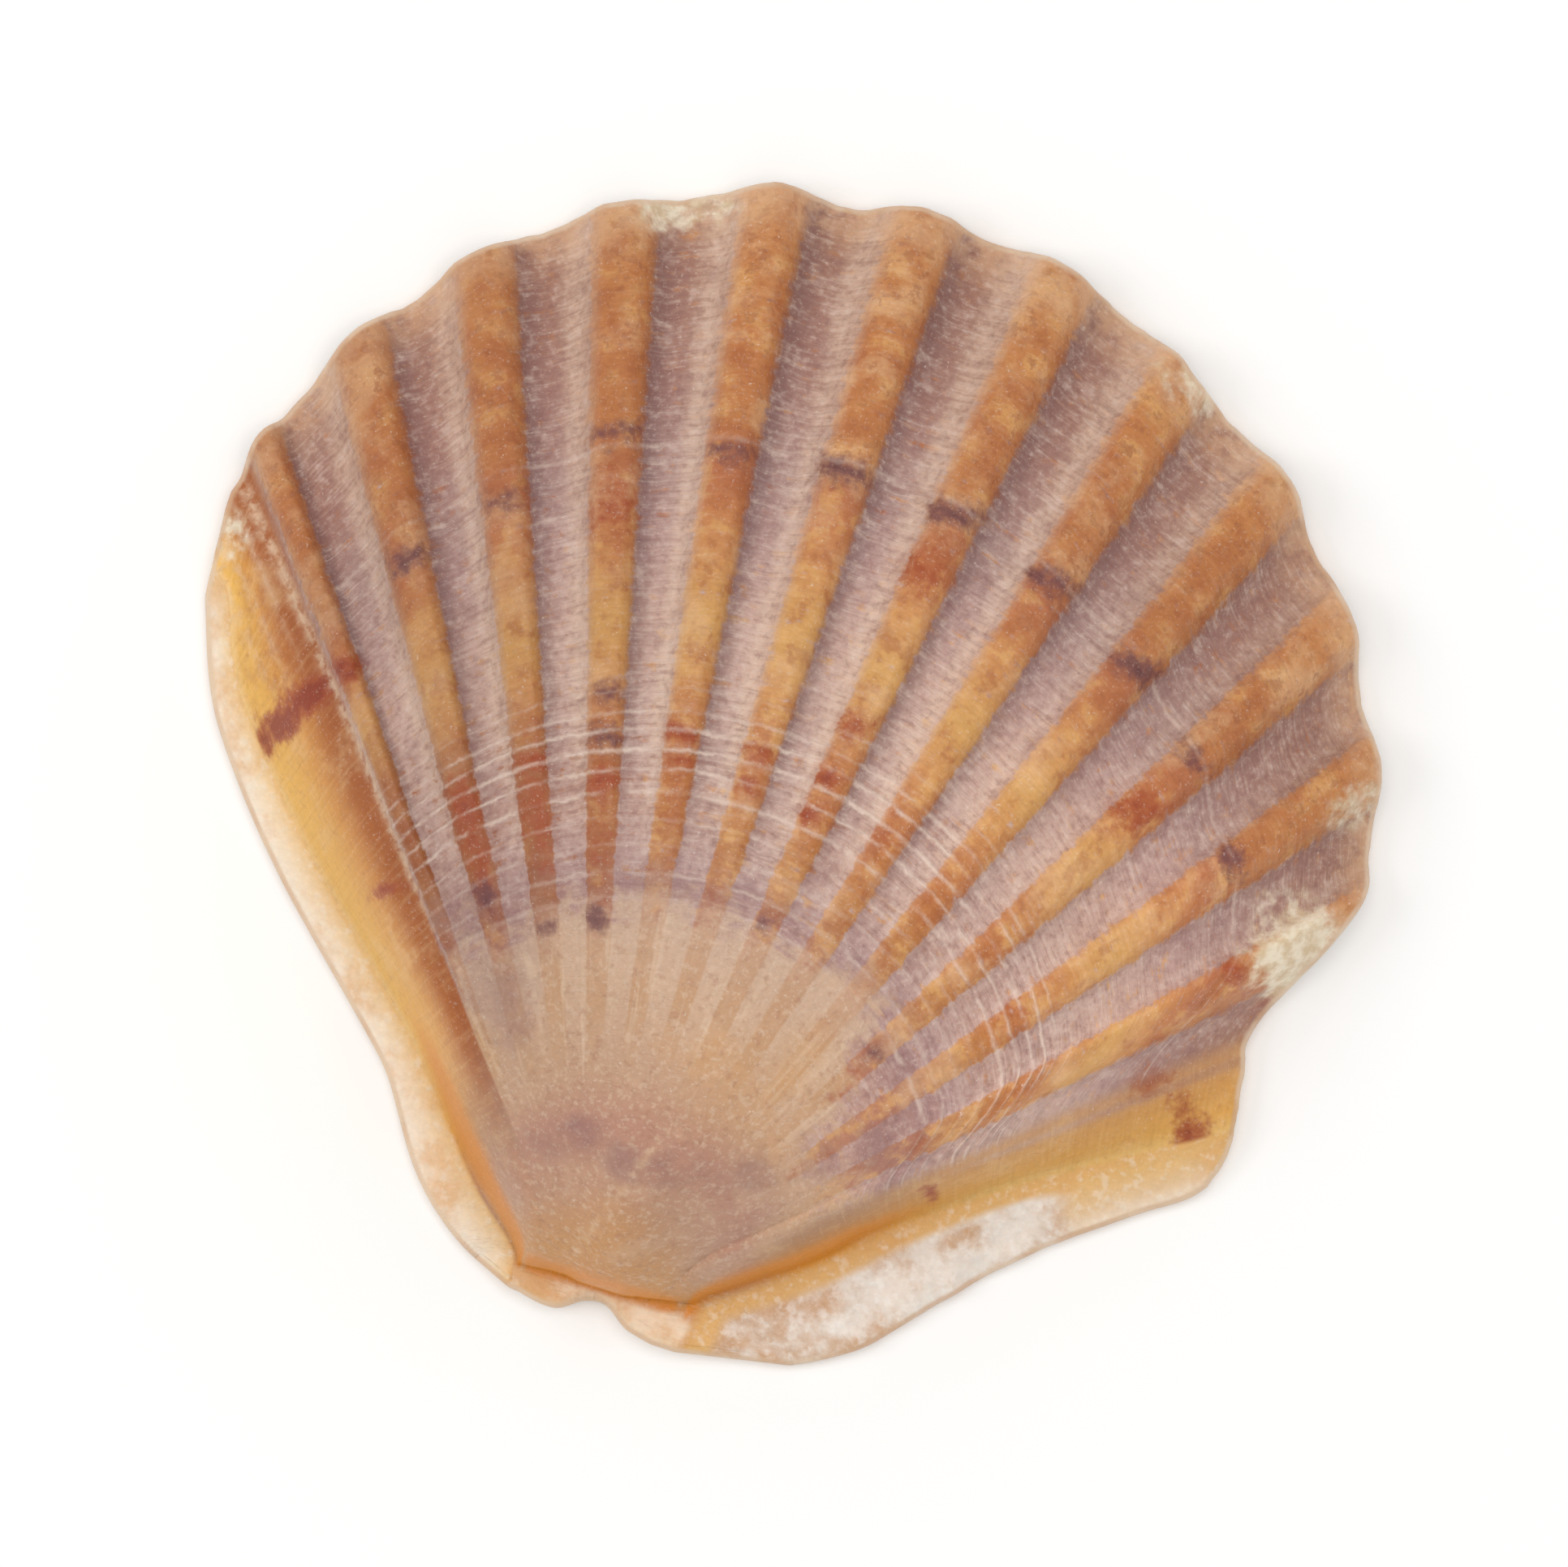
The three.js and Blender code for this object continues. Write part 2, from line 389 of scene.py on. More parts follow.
@dataclass
class Columns:
    """Lines from the hinge edge to the margin, from the left edge to the right one.

    A column follows a ray between the shoulders (flank and ledge 0), a line down a flank
    (flank 0 to 1) or a line on a ledge (flank 1, ledge 0 to 1).
    """

    per_pitch: int = 26
    flank_steps: int = 22
    ledge_steps: int = 9
    sides: np.ndarray = field(init=False)
    ray: np.ndarray = field(init=False)
    flank: np.ndarray = field(init=False)
    ledge: np.ndarray = field(init=False)

    def __post_init__(self) -> None:
        """Lay out the columns."""
        fan_count = int(round((LEFT.shoulder + RIGHT.shoulder) / Ribs().pitch * self.per_pitch))
        fan = np.linspace(-LEFT.shoulder, RIGHT.shoulder, fan_count)
        flank = np.arange(1, self.flank_steps + 1) / self.flank_steps
        ledge = np.arange(1, self.ledge_steps + 1) / self.ledge_steps
        out_flank = np.concatenate([flank, np.ones_like(ledge)])
        out_ledge = np.concatenate([np.zeros_like(flank), ledge])
        outer = len(out_flank)
        self.sides = np.sign(np.concatenate([-np.ones(outer), fan, np.ones(outer)]))
        self.ray = np.concatenate([np.full(outer, fan[0]), fan, np.full(outer, fan[-1])])
        self.flank = np.concatenate([out_flank[::-1], 0 * fan, out_flank])
        self.ledge = np.concatenate([out_ledge[::-1], 0 * fan, out_ledge])

    def __len__(self) -> int:
        """Number of columns."""
        return len(self.ray)


@dataclass
class Rows:
    """Growth lines, as shares of the way from the hinge edge to the margin."""

    count: int = 124
    fine_from: float = 0.34
    fine_to: float = 0.56
    fine_weight: float = 2.2
    fine_blend: float = 0.03
    beak_weight: float = 2.0
    beak_reach: float = 0.06
    foot_share: float = 0.03
    samples: int = 2001

    def shares(self) -> np.ndarray:
        """Shares from 0 to 1, closer together at the beak and where the growth rings crowd.

        Returns:
            The rows' shares, rising from 0 to 1.
        """
        q = np.linspace(0.0, 1.0, self.samples)
        density = 1.0 + self.beak_weight * bell(q, 0.0, self.beak_reach)
        density += self.fine_weight * smoothstep(q, self.fine_from - self.fine_blend, self.fine_from)
        density -= self.fine_weight * smoothstep(q, self.fine_to, self.fine_to + self.fine_blend)
        total = np.concatenate([[0.0], np.cumsum(density[1:])])
        shares = np.interp(np.linspace(0.0, total[-1], self.count), total, q)
        shares[np.argmin(np.abs(shares - self.foot_share))] = self.foot_share
        return shares


def polar(distance: np.ndarray, angle: np.ndarray) -> np.ndarray:
    """Plan place at a distance and an angle in degrees from the beak, last axis (x, y)."""
    turn = np.radians(angle)
    return np.stack([distance * np.sin(turn), distance * np.cos(turn)], axis=-1)


@dataclass(frozen=True)
class Spot:
    """A stain at an angle and a distance from the beak, with its half widths both ways."""

    angle: float
    distance: float
    half_angle: float
    half_distance: float
    strength: float = 1.0


@dataclass(frozen=True)
class Stains:
    """Where pigment darkened the shell as it grew, and where the beach has bared it."""

    wobble: Grain = Grain(seed=21, size=1.4, octaves=2)
    wobble_by: float = 0.25
    degrees_for_mm: float = 1.5
    spread: float = 1.15
    steepness: int = 2
    # Reach of the bared umbo, as (angle, distance from the beak) pairs.
    worn_patch: tuple[Span, ...] = (
        (-60, 8), (-45, 13), (-38, 15), (-30, 15.2), (-15, 16.0), (0, 16.7), (15, 16.5), (25, 16.3),
        (30, 14.6), (36, 11.8), (42, 10.6), (50, 11.3), (57, 12),
    )
    patch_fade: Span = (2.4, 5.4)
    patch_middle: float = 2.0
    patch_fade_over: Span = (22.0, 34.0)
    rust: tuple[Spot, ...] = (
        Spot(-15.0, 31.0, 1.8, 1.6, 0.55),
        Spot(7.3, 31.7, 2.2, 0.9, 0.8),
        Spot(30.6, 29.1, 1.6, 1.1, 0.8),
        Spot(7.3, 25.1, 1.6, 0.5, 0.7),
        Spot(-15.0, 20.8, 1.7, 0.5, 0.9),
        Spot(-7.6, 22.9, 2.1, 0.4, 0.9),
        Spot(-7.6, 21.6, 2.1, 0.35, 0.7),
        Spot(-0.3, 22.7, 1.9, 0.4, 0.7),
        Spot(-0.3, 21.5, 1.9, 0.35, 0.6),
        Spot(7.3, 23.0, 1.8, 0.5, 0.9),
        Spot(7.3, 21.5, 1.8, 0.5, 0.9),
        Spot(15.0, 22.0, 1.8, 0.5, 0.5),
        Spot(-22.4, 21.7, 2.0, 0.4, 0.8),
        Spot(-30.7, 20.3, 1.8, 0.9, 0.9),
        Spot(-30.7, 17.6, 1.7, 1.6, 0.7),
        Spot(-42.2, 18.4, 2.6, 0.35, 0.9),
        Spot(37.3, 20.4, 1.8, 0.5, 0.5),
        Spot(50.8, 23.8, 1.3, 0.9, 0.9),
        Spot(57.2, 24.7, 1.6, 0.7, 1.0),
        Spot(54.2, 24.6, 1.8, 0.5, 0.55),
        Spot(59.8, 23.9, 1.5, 0.5, 0.7),
        Spot(54.4, 14.1, 1.6, 0.3, 0.8),
        Spot(-41.3, 26.6, 2.4, 0.48, 1.8),
        Spot(-44.6, 26.2, 1.8, 0.40, 1.6),
        Spot(-37.9, 26.9, 1.6, 0.50, 1.4),
        Spot(-47.0, 25.8, 0.9, 0.36, 1.2),
        Spot(-30.7, 19.0, 2.4, 1.8, 0.70),
        Spot(-22.6, 19.4, 2.4, 2.2, 0.60),
        Spot(-15.0, 18.9, 2.2, 2.0, 0.52),
        Spot(-7.6, 19.6, 1.9, 1.3, 0.35),
        Spot(46.1, 28.8, 1.9, 0.3, 0.9),
        Spot(48.9, 29.9, 0.5, 1.1, 0.9),
    )
    plum: tuple[Spot, ...] = (
        Spot(-30.7, 30.3, 1.8, 0.35, 0.8),
        Spot(-22.6, 32.1, 1.8, 0.35, 0.75),
        Spot(-15.0, 34.3, 2.2, 0.4, 0.8),
        Spot(-7.7, 33.9, 2.0, 0.45, 0.9),
        Spot(-0.4, 34.3, 2.1, 0.45, 0.9),
        Spot(7.3, 34.3, 1.9, 0.4, 0.95),
        Spot(15.3, 34.0, 2.0, 0.4, 1.0),
        Spot(23.4, 33.2, 2.0, 0.45, 0.95),
        Spot(30.6, 32.2, 2.0, 0.4, 0.7),
        Spot(38.2, 30.9, 1.9, 0.45, 0.9),
        Spot(-15.0, 24.1, 1.6, 0.5, 0.6),
        Spot(-15.0, 22.5, 1.6, 0.45, 0.8),
        Spot(-30.7, 16.7, 1.6, 0.6, 0.8),
        Spot(-23.3, 15.1, 1.6, 0.35, 0.6),
        Spot(-15.4, 15.3, 1.9, 0.4, 0.85),
        Spot(7.3, 16.6, 1.5, 0.45, 0.75),
        Spot(30.4, 14.9, 1.8, 0.5, 0.5),
    )
    mauve: tuple[Spot, ...] = (
        Spot(-19.0, 7.1, 6.5, 0.8, 1.0),
        Spot(-29.0, 6.9, 7.0, 0.9, 0.7),
        Spot(-2.0, 6.3, 9.0, 0.8, 0.65),
        Spot(12.0, 6.4, 9.0, 0.6, 0.75),
        Spot(23.0, 7.2, 8.0, 0.6, 0.55),
        Spot(32.0, 8.9, 6.0, 0.8, 0.70),
        Spot(39.0, 10.9, 5.0, 0.9, 0.75),
        Spot(43.5, 13.2, 5.0, 1.2, 0.85),
        Spot(-2.0, 17.2, 32.0, 0.7, 0.45),
        Spot(34.0, 14.0, 4.0, 2.0, 0.40),
        Spot(-34.0, 14.0, 8.0, 3.0, 0.60),
    )
    cream: tuple[Spot, ...] = (
        Spot(-12.6, 43.9, 2.6, 0.8, 0.9),
        Spot(-33.8, 38.9, 1.4, 0.5, 0.7),
        Spot(-43.0, 34.0, 2.2, 0.9, 0.8),
        Spot(16.3, 43.4, 2.0, 0.6, 0.6),
        Spot(39.8, 36.2, 1.0, 1.0, 0.6),
        Spot(46.8, 31.3, 3.0, 1.4, 1.3),
    )

    def strength(self, spots: tuple[Spot, ...], angle: np.ndarray, distance: np.ndarray) -> np.ndarray:
        """Strength of a set of stains at each place.

        Each stain is a block with soft sides, exp(-(da^p + dd^p)), on places that a random field
        has pushed about by a quarter of a millimetre, and the strongest one counts.

        Args:
            spots: the stains.
            angle: degrees from +Y at each place.
            distance: distance from the beak at each place.

        Returns:
            Numbers from 0 to the strongest stain's strength.
        """
        x, y = distance * np.sin(np.radians(angle)), distance * np.cos(np.radians(angle))
        push = self.wobble_by * self.wobble.at(x, y)
        total = np.zeros_like(angle)
        for spot in spots:
            da = (angle + self.degrees_for_mm * push - spot.angle) / (self.spread * spot.half_angle)
            dd = (distance + push - spot.distance) / (self.spread * spot.half_distance)
            block = np.exp(-(da**self.steepness + dd**self.steepness))
            total = np.maximum(total, spot.strength * block)
        return total

    def bared(self, angle: np.ndarray, distance: np.ndarray) -> np.ndarray:
        """How far inside the worn patch a place is: 0.5 on its line, by its fade at each angle.

        Args:
            angle: degrees from +Y at each place.
            distance: distance from the beak at each place.

        Returns:
            Numbers that pass 0.5 on the patch's line.
        """
        narrow, wide = self.patch_fade
        away = smoothstep(np.abs(angle - self.patch_middle), *self.patch_fade_over)
        fade = narrow + (wide - narrow) * away
        return 0.5 + (along(self.worn_patch, angle) - distance) / fade


@dataclass
class Places:
    """Where the grid's points lie, in the terms that the tones are laid out in.

    Flank and ledge run from 0 at their inner side to 1 at their outer side.
    """

    x: np.ndarray
    y: np.ndarray
    flank: np.ndarray
    ledge: np.ndarray
    left: np.ndarray
    distance: np.ndarray = field(init=False)
    angle: np.ndarray = field(init=False)

    def __post_init__(self) -> None:
        """Turn the places into distances from the beak and degrees from +Y."""
        self.distance = np.hypot(self.x, self.y)
        self.angle = np.degrees(np.arctan2(self.x, self.y))


@dataclass(frozen=True)
class FanTones:
    """Tones of the fan: where it is pigmented, dusky or scratched, and where light and shade are painted on
    the ribs' sides.

    Spans across a rib are in pitches from its middle, spans of angle in degrees from +Y, and
    the others in millimetres from the beak.
    """

    pigment_middle: float = 0.02
    pigment_ends: Span = (0.19, 0.27)
    # lit: painted highlight on each rib's left wall, partly its own paler colour; dim: painted shade.
    lit: tuple[Span, Span] = ((-0.50, -0.30), (-0.24, -0.12))
    dim: tuple[Span, Span] = ((0.20, 0.27), (0.30, 0.50))
    # Where the ribs' painted light and shade lie: out from the beak, right of the left flank, weaker to the
    # right.
    modelled_from: Span = (16.0, 24.0)
    modelled_angles: Span = (-40.0, -36.0)
    modelled_less: float = 0.7
    modelled_less_over: Span = (8.0, 34.0)
    dusk_angles: Span = (4.0, 24.0)
    dusk_from: Span = (13.5, 17.0)
    dusk_less: float = 0.65
    dusk_less_over: Span = (21.0, 25.0)
    trend: tuple[Span, Span] = ((7.0, 11.0), (28.0, 35.0))
    trend_angles: Span = (-30.0, 40.0)
    trend_per_degree: float = 0.0033
    trend_ends: float = 0.3  # share of the flank
    scratch: tuple[Span, Span] = ((-1.23, 1.83), (0.58, 6.93))
    scratch_half_width: float = 0.18

    def lay_out(self, at: Places, off: np.ndarray) -> dict[str, np.ndarray]:
        """Work out the tones.

        Args:
            at: where the grid's points lie.
            off: pitches from the nearest rib's middle.

        Returns:
            Named grids of numbers.
        """
        fan = at.flank == 0
        # Where the ribs' painted light and shade lie.
        modelled = smoothstep(at.distance, *self.modelled_from) * smoothstep(at.angle, *self.modelled_angles)
        less = self.modelled_less * smoothstep(at.angle, *self.modelled_less_over)
        modelled = modelled * fan * (1.0 - less)
        dusk = smoothstep(-at.angle, *self.dusk_angles) * fan * smoothstep(at.distance, *self.dusk_from)
        trend = window(at.distance, *self.trend) * (1.0 - smoothstep(at.flank, 0.0, self.trend_ends))
        start, end = (np.array(place) for place in self.scratch)
        run = end - start
        share = ((at.x - start[0]) * run[0] + (at.y - start[1]) * run[1]) / (run @ run)
        share = np.clip(share, 0.0, 1.0)
        off_line = np.hypot(at.x - start[0] - share * run[0], at.y - start[1] - share * run[1])
        return {
            "pigment": (1.0 - smoothstep(np.abs(off - self.pigment_middle), *self.pigment_ends)) * fan,
            # Painted highlight on each rib's left wall, partly its own paler colour.
            "lit_side": window(off, *self.lit) * modelled,
            # Painted shade in the groove just right of each rib.
            "dim_side": window(off, *self.dim) * modelled,
            "dusk": dusk * (1.0 - self.dusk_less * smoothstep(at.distance, *self.dusk_less_over)),
            "trend": trend * np.clip(at.angle, *self.trend_angles) * self.trend_per_degree,
            "scratch": bell(off_line, 0.0, self.scratch_half_width),
        }


@dataclass(frozen=True)
class SideTones:
    """Tones of the flanks, the ledges, the nose and the hinge strip.

    Pairs of spans, or of numbers, called left_right are for the left side and the right one.
    """

    amber_angles: Span = (38.7, 39.3)
    amber_flank_left_right: tuple[Span, Span] = ((0.0, 0.1), (0.14, 0.42))
    amber_from: Span = (5.0, 9.0)
    # A streak down the right flank that the amber leaves paler.
    streak_angle: float = 52.4
    streak_half_angle: float = 0.5
    streak_from: Span = (14.0, 18.0)
    streak_strength: float = 0.55
    near_left_right: tuple[Span, Span] = ((7.0, 13.0), (10.0, 17.0))
    mottle_from: Span = (25.5, 26.3)
    mottle_flank: Span = (0.0, 0.15)
    mottle_fade: float = 0.8
    # A pale line where the left flank begins, which turns outwards, and riblets beyond it.
    crest_angle: float = -39.1
    crest_turn: float = 0.08
    crest_turn_from: float = 24.0
    crest_half_angle: float = 0.42
    crest_from: Span = (14.0, 19.0)
    riblets: tuple[float, ...] = (-41.0, -42.6, -44.2)
    riblet_half_angle: float = 0.28
    riblet_from: Span = (26.5, 29.0)
    riblet_flank: Span = (0.0, 0.2)
    riblet_strength: float = 0.55
    # Orange seams: up the nose's foot, and just inside each crease.
    nose_line: float = 0.95
    nose_half_width: float = 0.42
    nose_flank: Span = (0.2, 0.8)
    nose_until: Span = (4.0, 5.0)
    seam_gap_left_right: Span = (0.50, 0.25)
    seam_half_width_left_right: Span = (0.46, 0.45)
    seam_until: Span = (9.0, 17.0)
    seam_ledge: Span = (0.0, 0.12)
    seam_above: Span = (0.4, 0.8)
    strip_below: Span = (0.45, 0.75)
    strip_reach: float = 4.8
    pearl_ledge: Span = (0.18, 0.50)
    pearl_until: Span = (17.5, 20.5)
    hinge_until: Span = (7.5, 11.5)

    def lay_out(self, at: Places) -> dict[str, np.ndarray]:
        """Work out the tones.

        Args:
            at: where the grid's points lie.

        Returns:
            Named grids of numbers.
        """
        near_left, near_right = (np.where(at.left, *ends) for ends in zip(*self.near_left_right))
        mottle = at.left * smoothstep(at.distance, *self.mottle_from)
        mottle = mottle * smoothstep(at.flank, *self.mottle_flank)
        strip = (1.0 - smoothstep(at.y, *self.strip_below)) * (at.ledge == 0)
        pearl = smoothstep(at.ledge, *self.pearl_ledge) * (1.0 - smoothstep(at.distance, *self.pearl_until))
        return {
            "amber": self.amber(at),
            "near": 1.0 - smoothstep(at.distance, near_left, near_right),
            "mottle": mottle * (1.0 - self.mottle_fade * at.flank),
            "riblets": self.raised_lines(at),
            "border": self.seams(at),
            "strip": strip * (at.distance < self.strip_reach),
            "pearl": pearl * (~at.left),
            "hinge": (1.0 - smoothstep(at.distance, *self.hinge_until)) * (~at.left),
        }

    def amber(self, at: Places) -> np.ndarray:
        """Where the flanks' amber lies: past an angle on the left, and down the flank on both.

        Args:
            at: where the grid's points lie.

        Returns:
            Numbers from 0 to 1.
        """
        on_left, on_right = (smoothstep(at.flank, *span) for span in self.amber_flank_left_right)
        streak = bell(at.angle, self.streak_angle, self.streak_half_angle)
        streak = self.streak_strength * streak * smoothstep(at.distance, *self.streak_from)
        left = np.maximum(smoothstep(-at.angle, *self.amber_angles), on_left)
        return np.where(at.left, left, on_right * (1.0 - streak)) * smoothstep(at.distance, *self.amber_from)

    def raised_lines(self, at: Places) -> np.ndarray:
        """The pale line at the top of the left flank, and the riblets on the flank.

        Args:
            at: where the grid's points lie.

        Returns:
            Strength of the pale lines.
        """
        turned = self.crest_angle - self.crest_turn * np.maximum(at.distance - self.crest_turn_from, 0.0)
        crest = bell(at.angle, turned, self.crest_half_angle) * smoothstep(at.distance, *self.crest_from)
        riblets = sum(bell(at.angle, line, self.riblet_half_angle) for line in self.riblets)
        riblets = riblets * smoothstep(at.distance, *self.riblet_from)
        return crest + self.riblet_strength * riblets * smoothstep(at.flank, *self.riblet_flank)

    def seams(self, at: Places) -> np.ndarray:
        """Orange seams, by the gap in millimetres between a place and its crease.

        Args:
            at: where the grid's points lie.

        Returns:
            Numbers from 0 to 1.
        """
        nose = bell(at.y, self.nose_line, self.nose_half_width)
        nose = nose * (1.0 - smoothstep(at.flank, *self.nose_flank))
        nose = nose * (1.0 - smoothstep(at.distance, *self.nose_until))
        crease, shoulder = (
            np.where(at.left, *ends)
            for ends in (
                (along(LEFT.crease, at.distance), along(RIGHT.crease, at.distance)),
                (LEFT.shoulder, RIGHT.shoulder),
            )
        )
        gap = (1.0 - at.flank) * np.radians(crease - shoulder) * at.distance
        middle, half_width = (
            np.where(at.left, *ends) for ends in (self.seam_gap_left_right, self.seam_half_width_left_right)
        )
        seam = bell(gap, middle, half_width) * (1.0 - smoothstep(at.distance, *self.seam_until))
        seam = seam * (1.0 - smoothstep(at.ledge, *self.seam_ledge)) * smoothstep(at.y, *self.seam_above)
        return np.maximum(nose, seam)


@dataclass(frozen=True)
class Growth:
    """Growth coordinate: how far from the beak the margin stood along the middle line.

    Growth lines lie a little further out towards the sides than equal shares do, and more so
    near the beak, so the share is reduced by the square of the angle before it is scaled.
    """

    length: float = 45.0
    side_angle: float = 38.0
    lag: float = 0.03
    beak_lag: float = 0.14

    def at(self, ray: np.ndarray, share: np.ndarray) -> np.ndarray:
        """Growth coordinate on each ray at shares of the way from the hinge edge to the margin."""
        side = (ray / self.side_angle)[:, None] ** 2
        return self.length * share * (1.0 - (self.lag + self.beak_lag * (1.0 - share)) * side)


@dataclass(frozen=True)
class Relief:
    """Small relief of the outside: ridges where growth paused, uneven wear, a crumbled ledge."""

    # Ridges: growth coordinate, half width, height.
    ridges: tuple[tuple[float, float, float], ...] = (
        (34.3, 0.35, -0.10), (35.2, 0.5, 0.05), (24.2, 0.22, 0.06), (23.3, 0.22, 0.07),
        (22.5, 0.24, 0.10), (21.6, 0.22, 0.08), (20.9, 0.24, 0.09), (19.7, 0.22, 0.06),
        (18.6, 0.22, 0.05), (17.2, 0.25, 0.07), (16.8, 0.20, -0.05),
    )
    lost_on_flank: float = 0.7
    wander: Grain = Grain(seed=5, size=6.0)
    wander_by: float = 0.25
    wear: Grain = Grain(seed=8, size=2.4, octaves=3)
    wear_depth: float = 0.05
    wear_from: Span = (0.02, 0.2)  # share of the way to the margin
    crumble: Grain = Grain(seed=3, size=1.3, octaves=3)
    crumble_depth: float = 0.30
    crumble_at: float = 14.0
    crumble_half_width: float = 6.0

    def lift(
        self, x: np.ndarray, y: np.ndarray, growth: np.ndarray, q: np.ndarray, col: Columns
    ) -> np.ndarray:
        """How far the relief stands out from the smooth surface.

        Args:
            x: plan place across.
            y: plan place along.
            growth: growth coordinate.
            q: shares of the rows.
            col: the columns.

        Returns:
            Distances in millimetres, on the grid.
        """
        wander = growth + self.wander_by * self.wander.at(x, y)
        lift = sum(height * bell(wander, at, width) for at, width, height in self.ridges)
        lift = lift * (1.0 - col.flank[:, None] * self.lost_on_flank) * (col.ledge == 0)[:, None]
        lift = lift + self.wear_depth * self.wear.at(x, y) * smoothstep(q, *self.wear_from)[None, :]
        near = bell(np.hypot(x, y), self.crumble_at, self.crumble_half_width)
        crumbly = (col.ledge * (col.sides > 0))[:, None] * near
        return lift + self.crumble_depth * crumbly * self.crumble.at(x, y)


@dataclass(frozen=True)
class BakeMap:
    """Map that colours are stored on, in shares of its side for each millimetre.

    The outer sheet is drawn as seen from above and takes most of the map, the rim is drawn as a
    band round it, and the inner sheet is drawn smaller in the corner that is left.
    """

    layer: str = "OFBake"
    centre: Span = (0.6, 22.0)
    outer_at: float = 0.415
    outer_scale: float = 0.0163
    inner_at: float = 0.835
    inner_scale: float = 0.0064
    rim_step: float = 0.45

    def lay_out(
        self, mesh: bpy.types.Mesh, points: np.ndarray, count: int, loop: np.ndarray, away: np.ndarray
    ) -> None:
        """Store each corner's place on the map.

        Args:
            mesh: the valve's mesh.
            points: its places in millimetres: outer sheet, inner sheet, then the rim's rows.
            count: number of points of one sheet.
            loop: the outer sheet's points along its boundary.
            away: directions from that boundary outwards.
        """
        flat = points[:, :2] - np.array(self.centre)
        for row, start in enumerate(range(2 * count, len(flat), len(loop)), start=1):
            flat[start : start + len(loop)] = flat[loop] + away[:, :2] * self.rim_step * row
        uv = self.outer_at + flat * self.outer_scale
        uv[count : 2 * count] = self.inner_at + flat[count : 2 * count] * self.inner_scale
        corners = np.empty(len(mesh.loops), dtype=np.int32)
        mesh.loops.foreach_get("vertex_index", corners)
        layer = mesh.uv_layers.new(name=self.layer)
        layer.uv.foreach_set("vector", uv[corners].astype(np.float32).ravel())


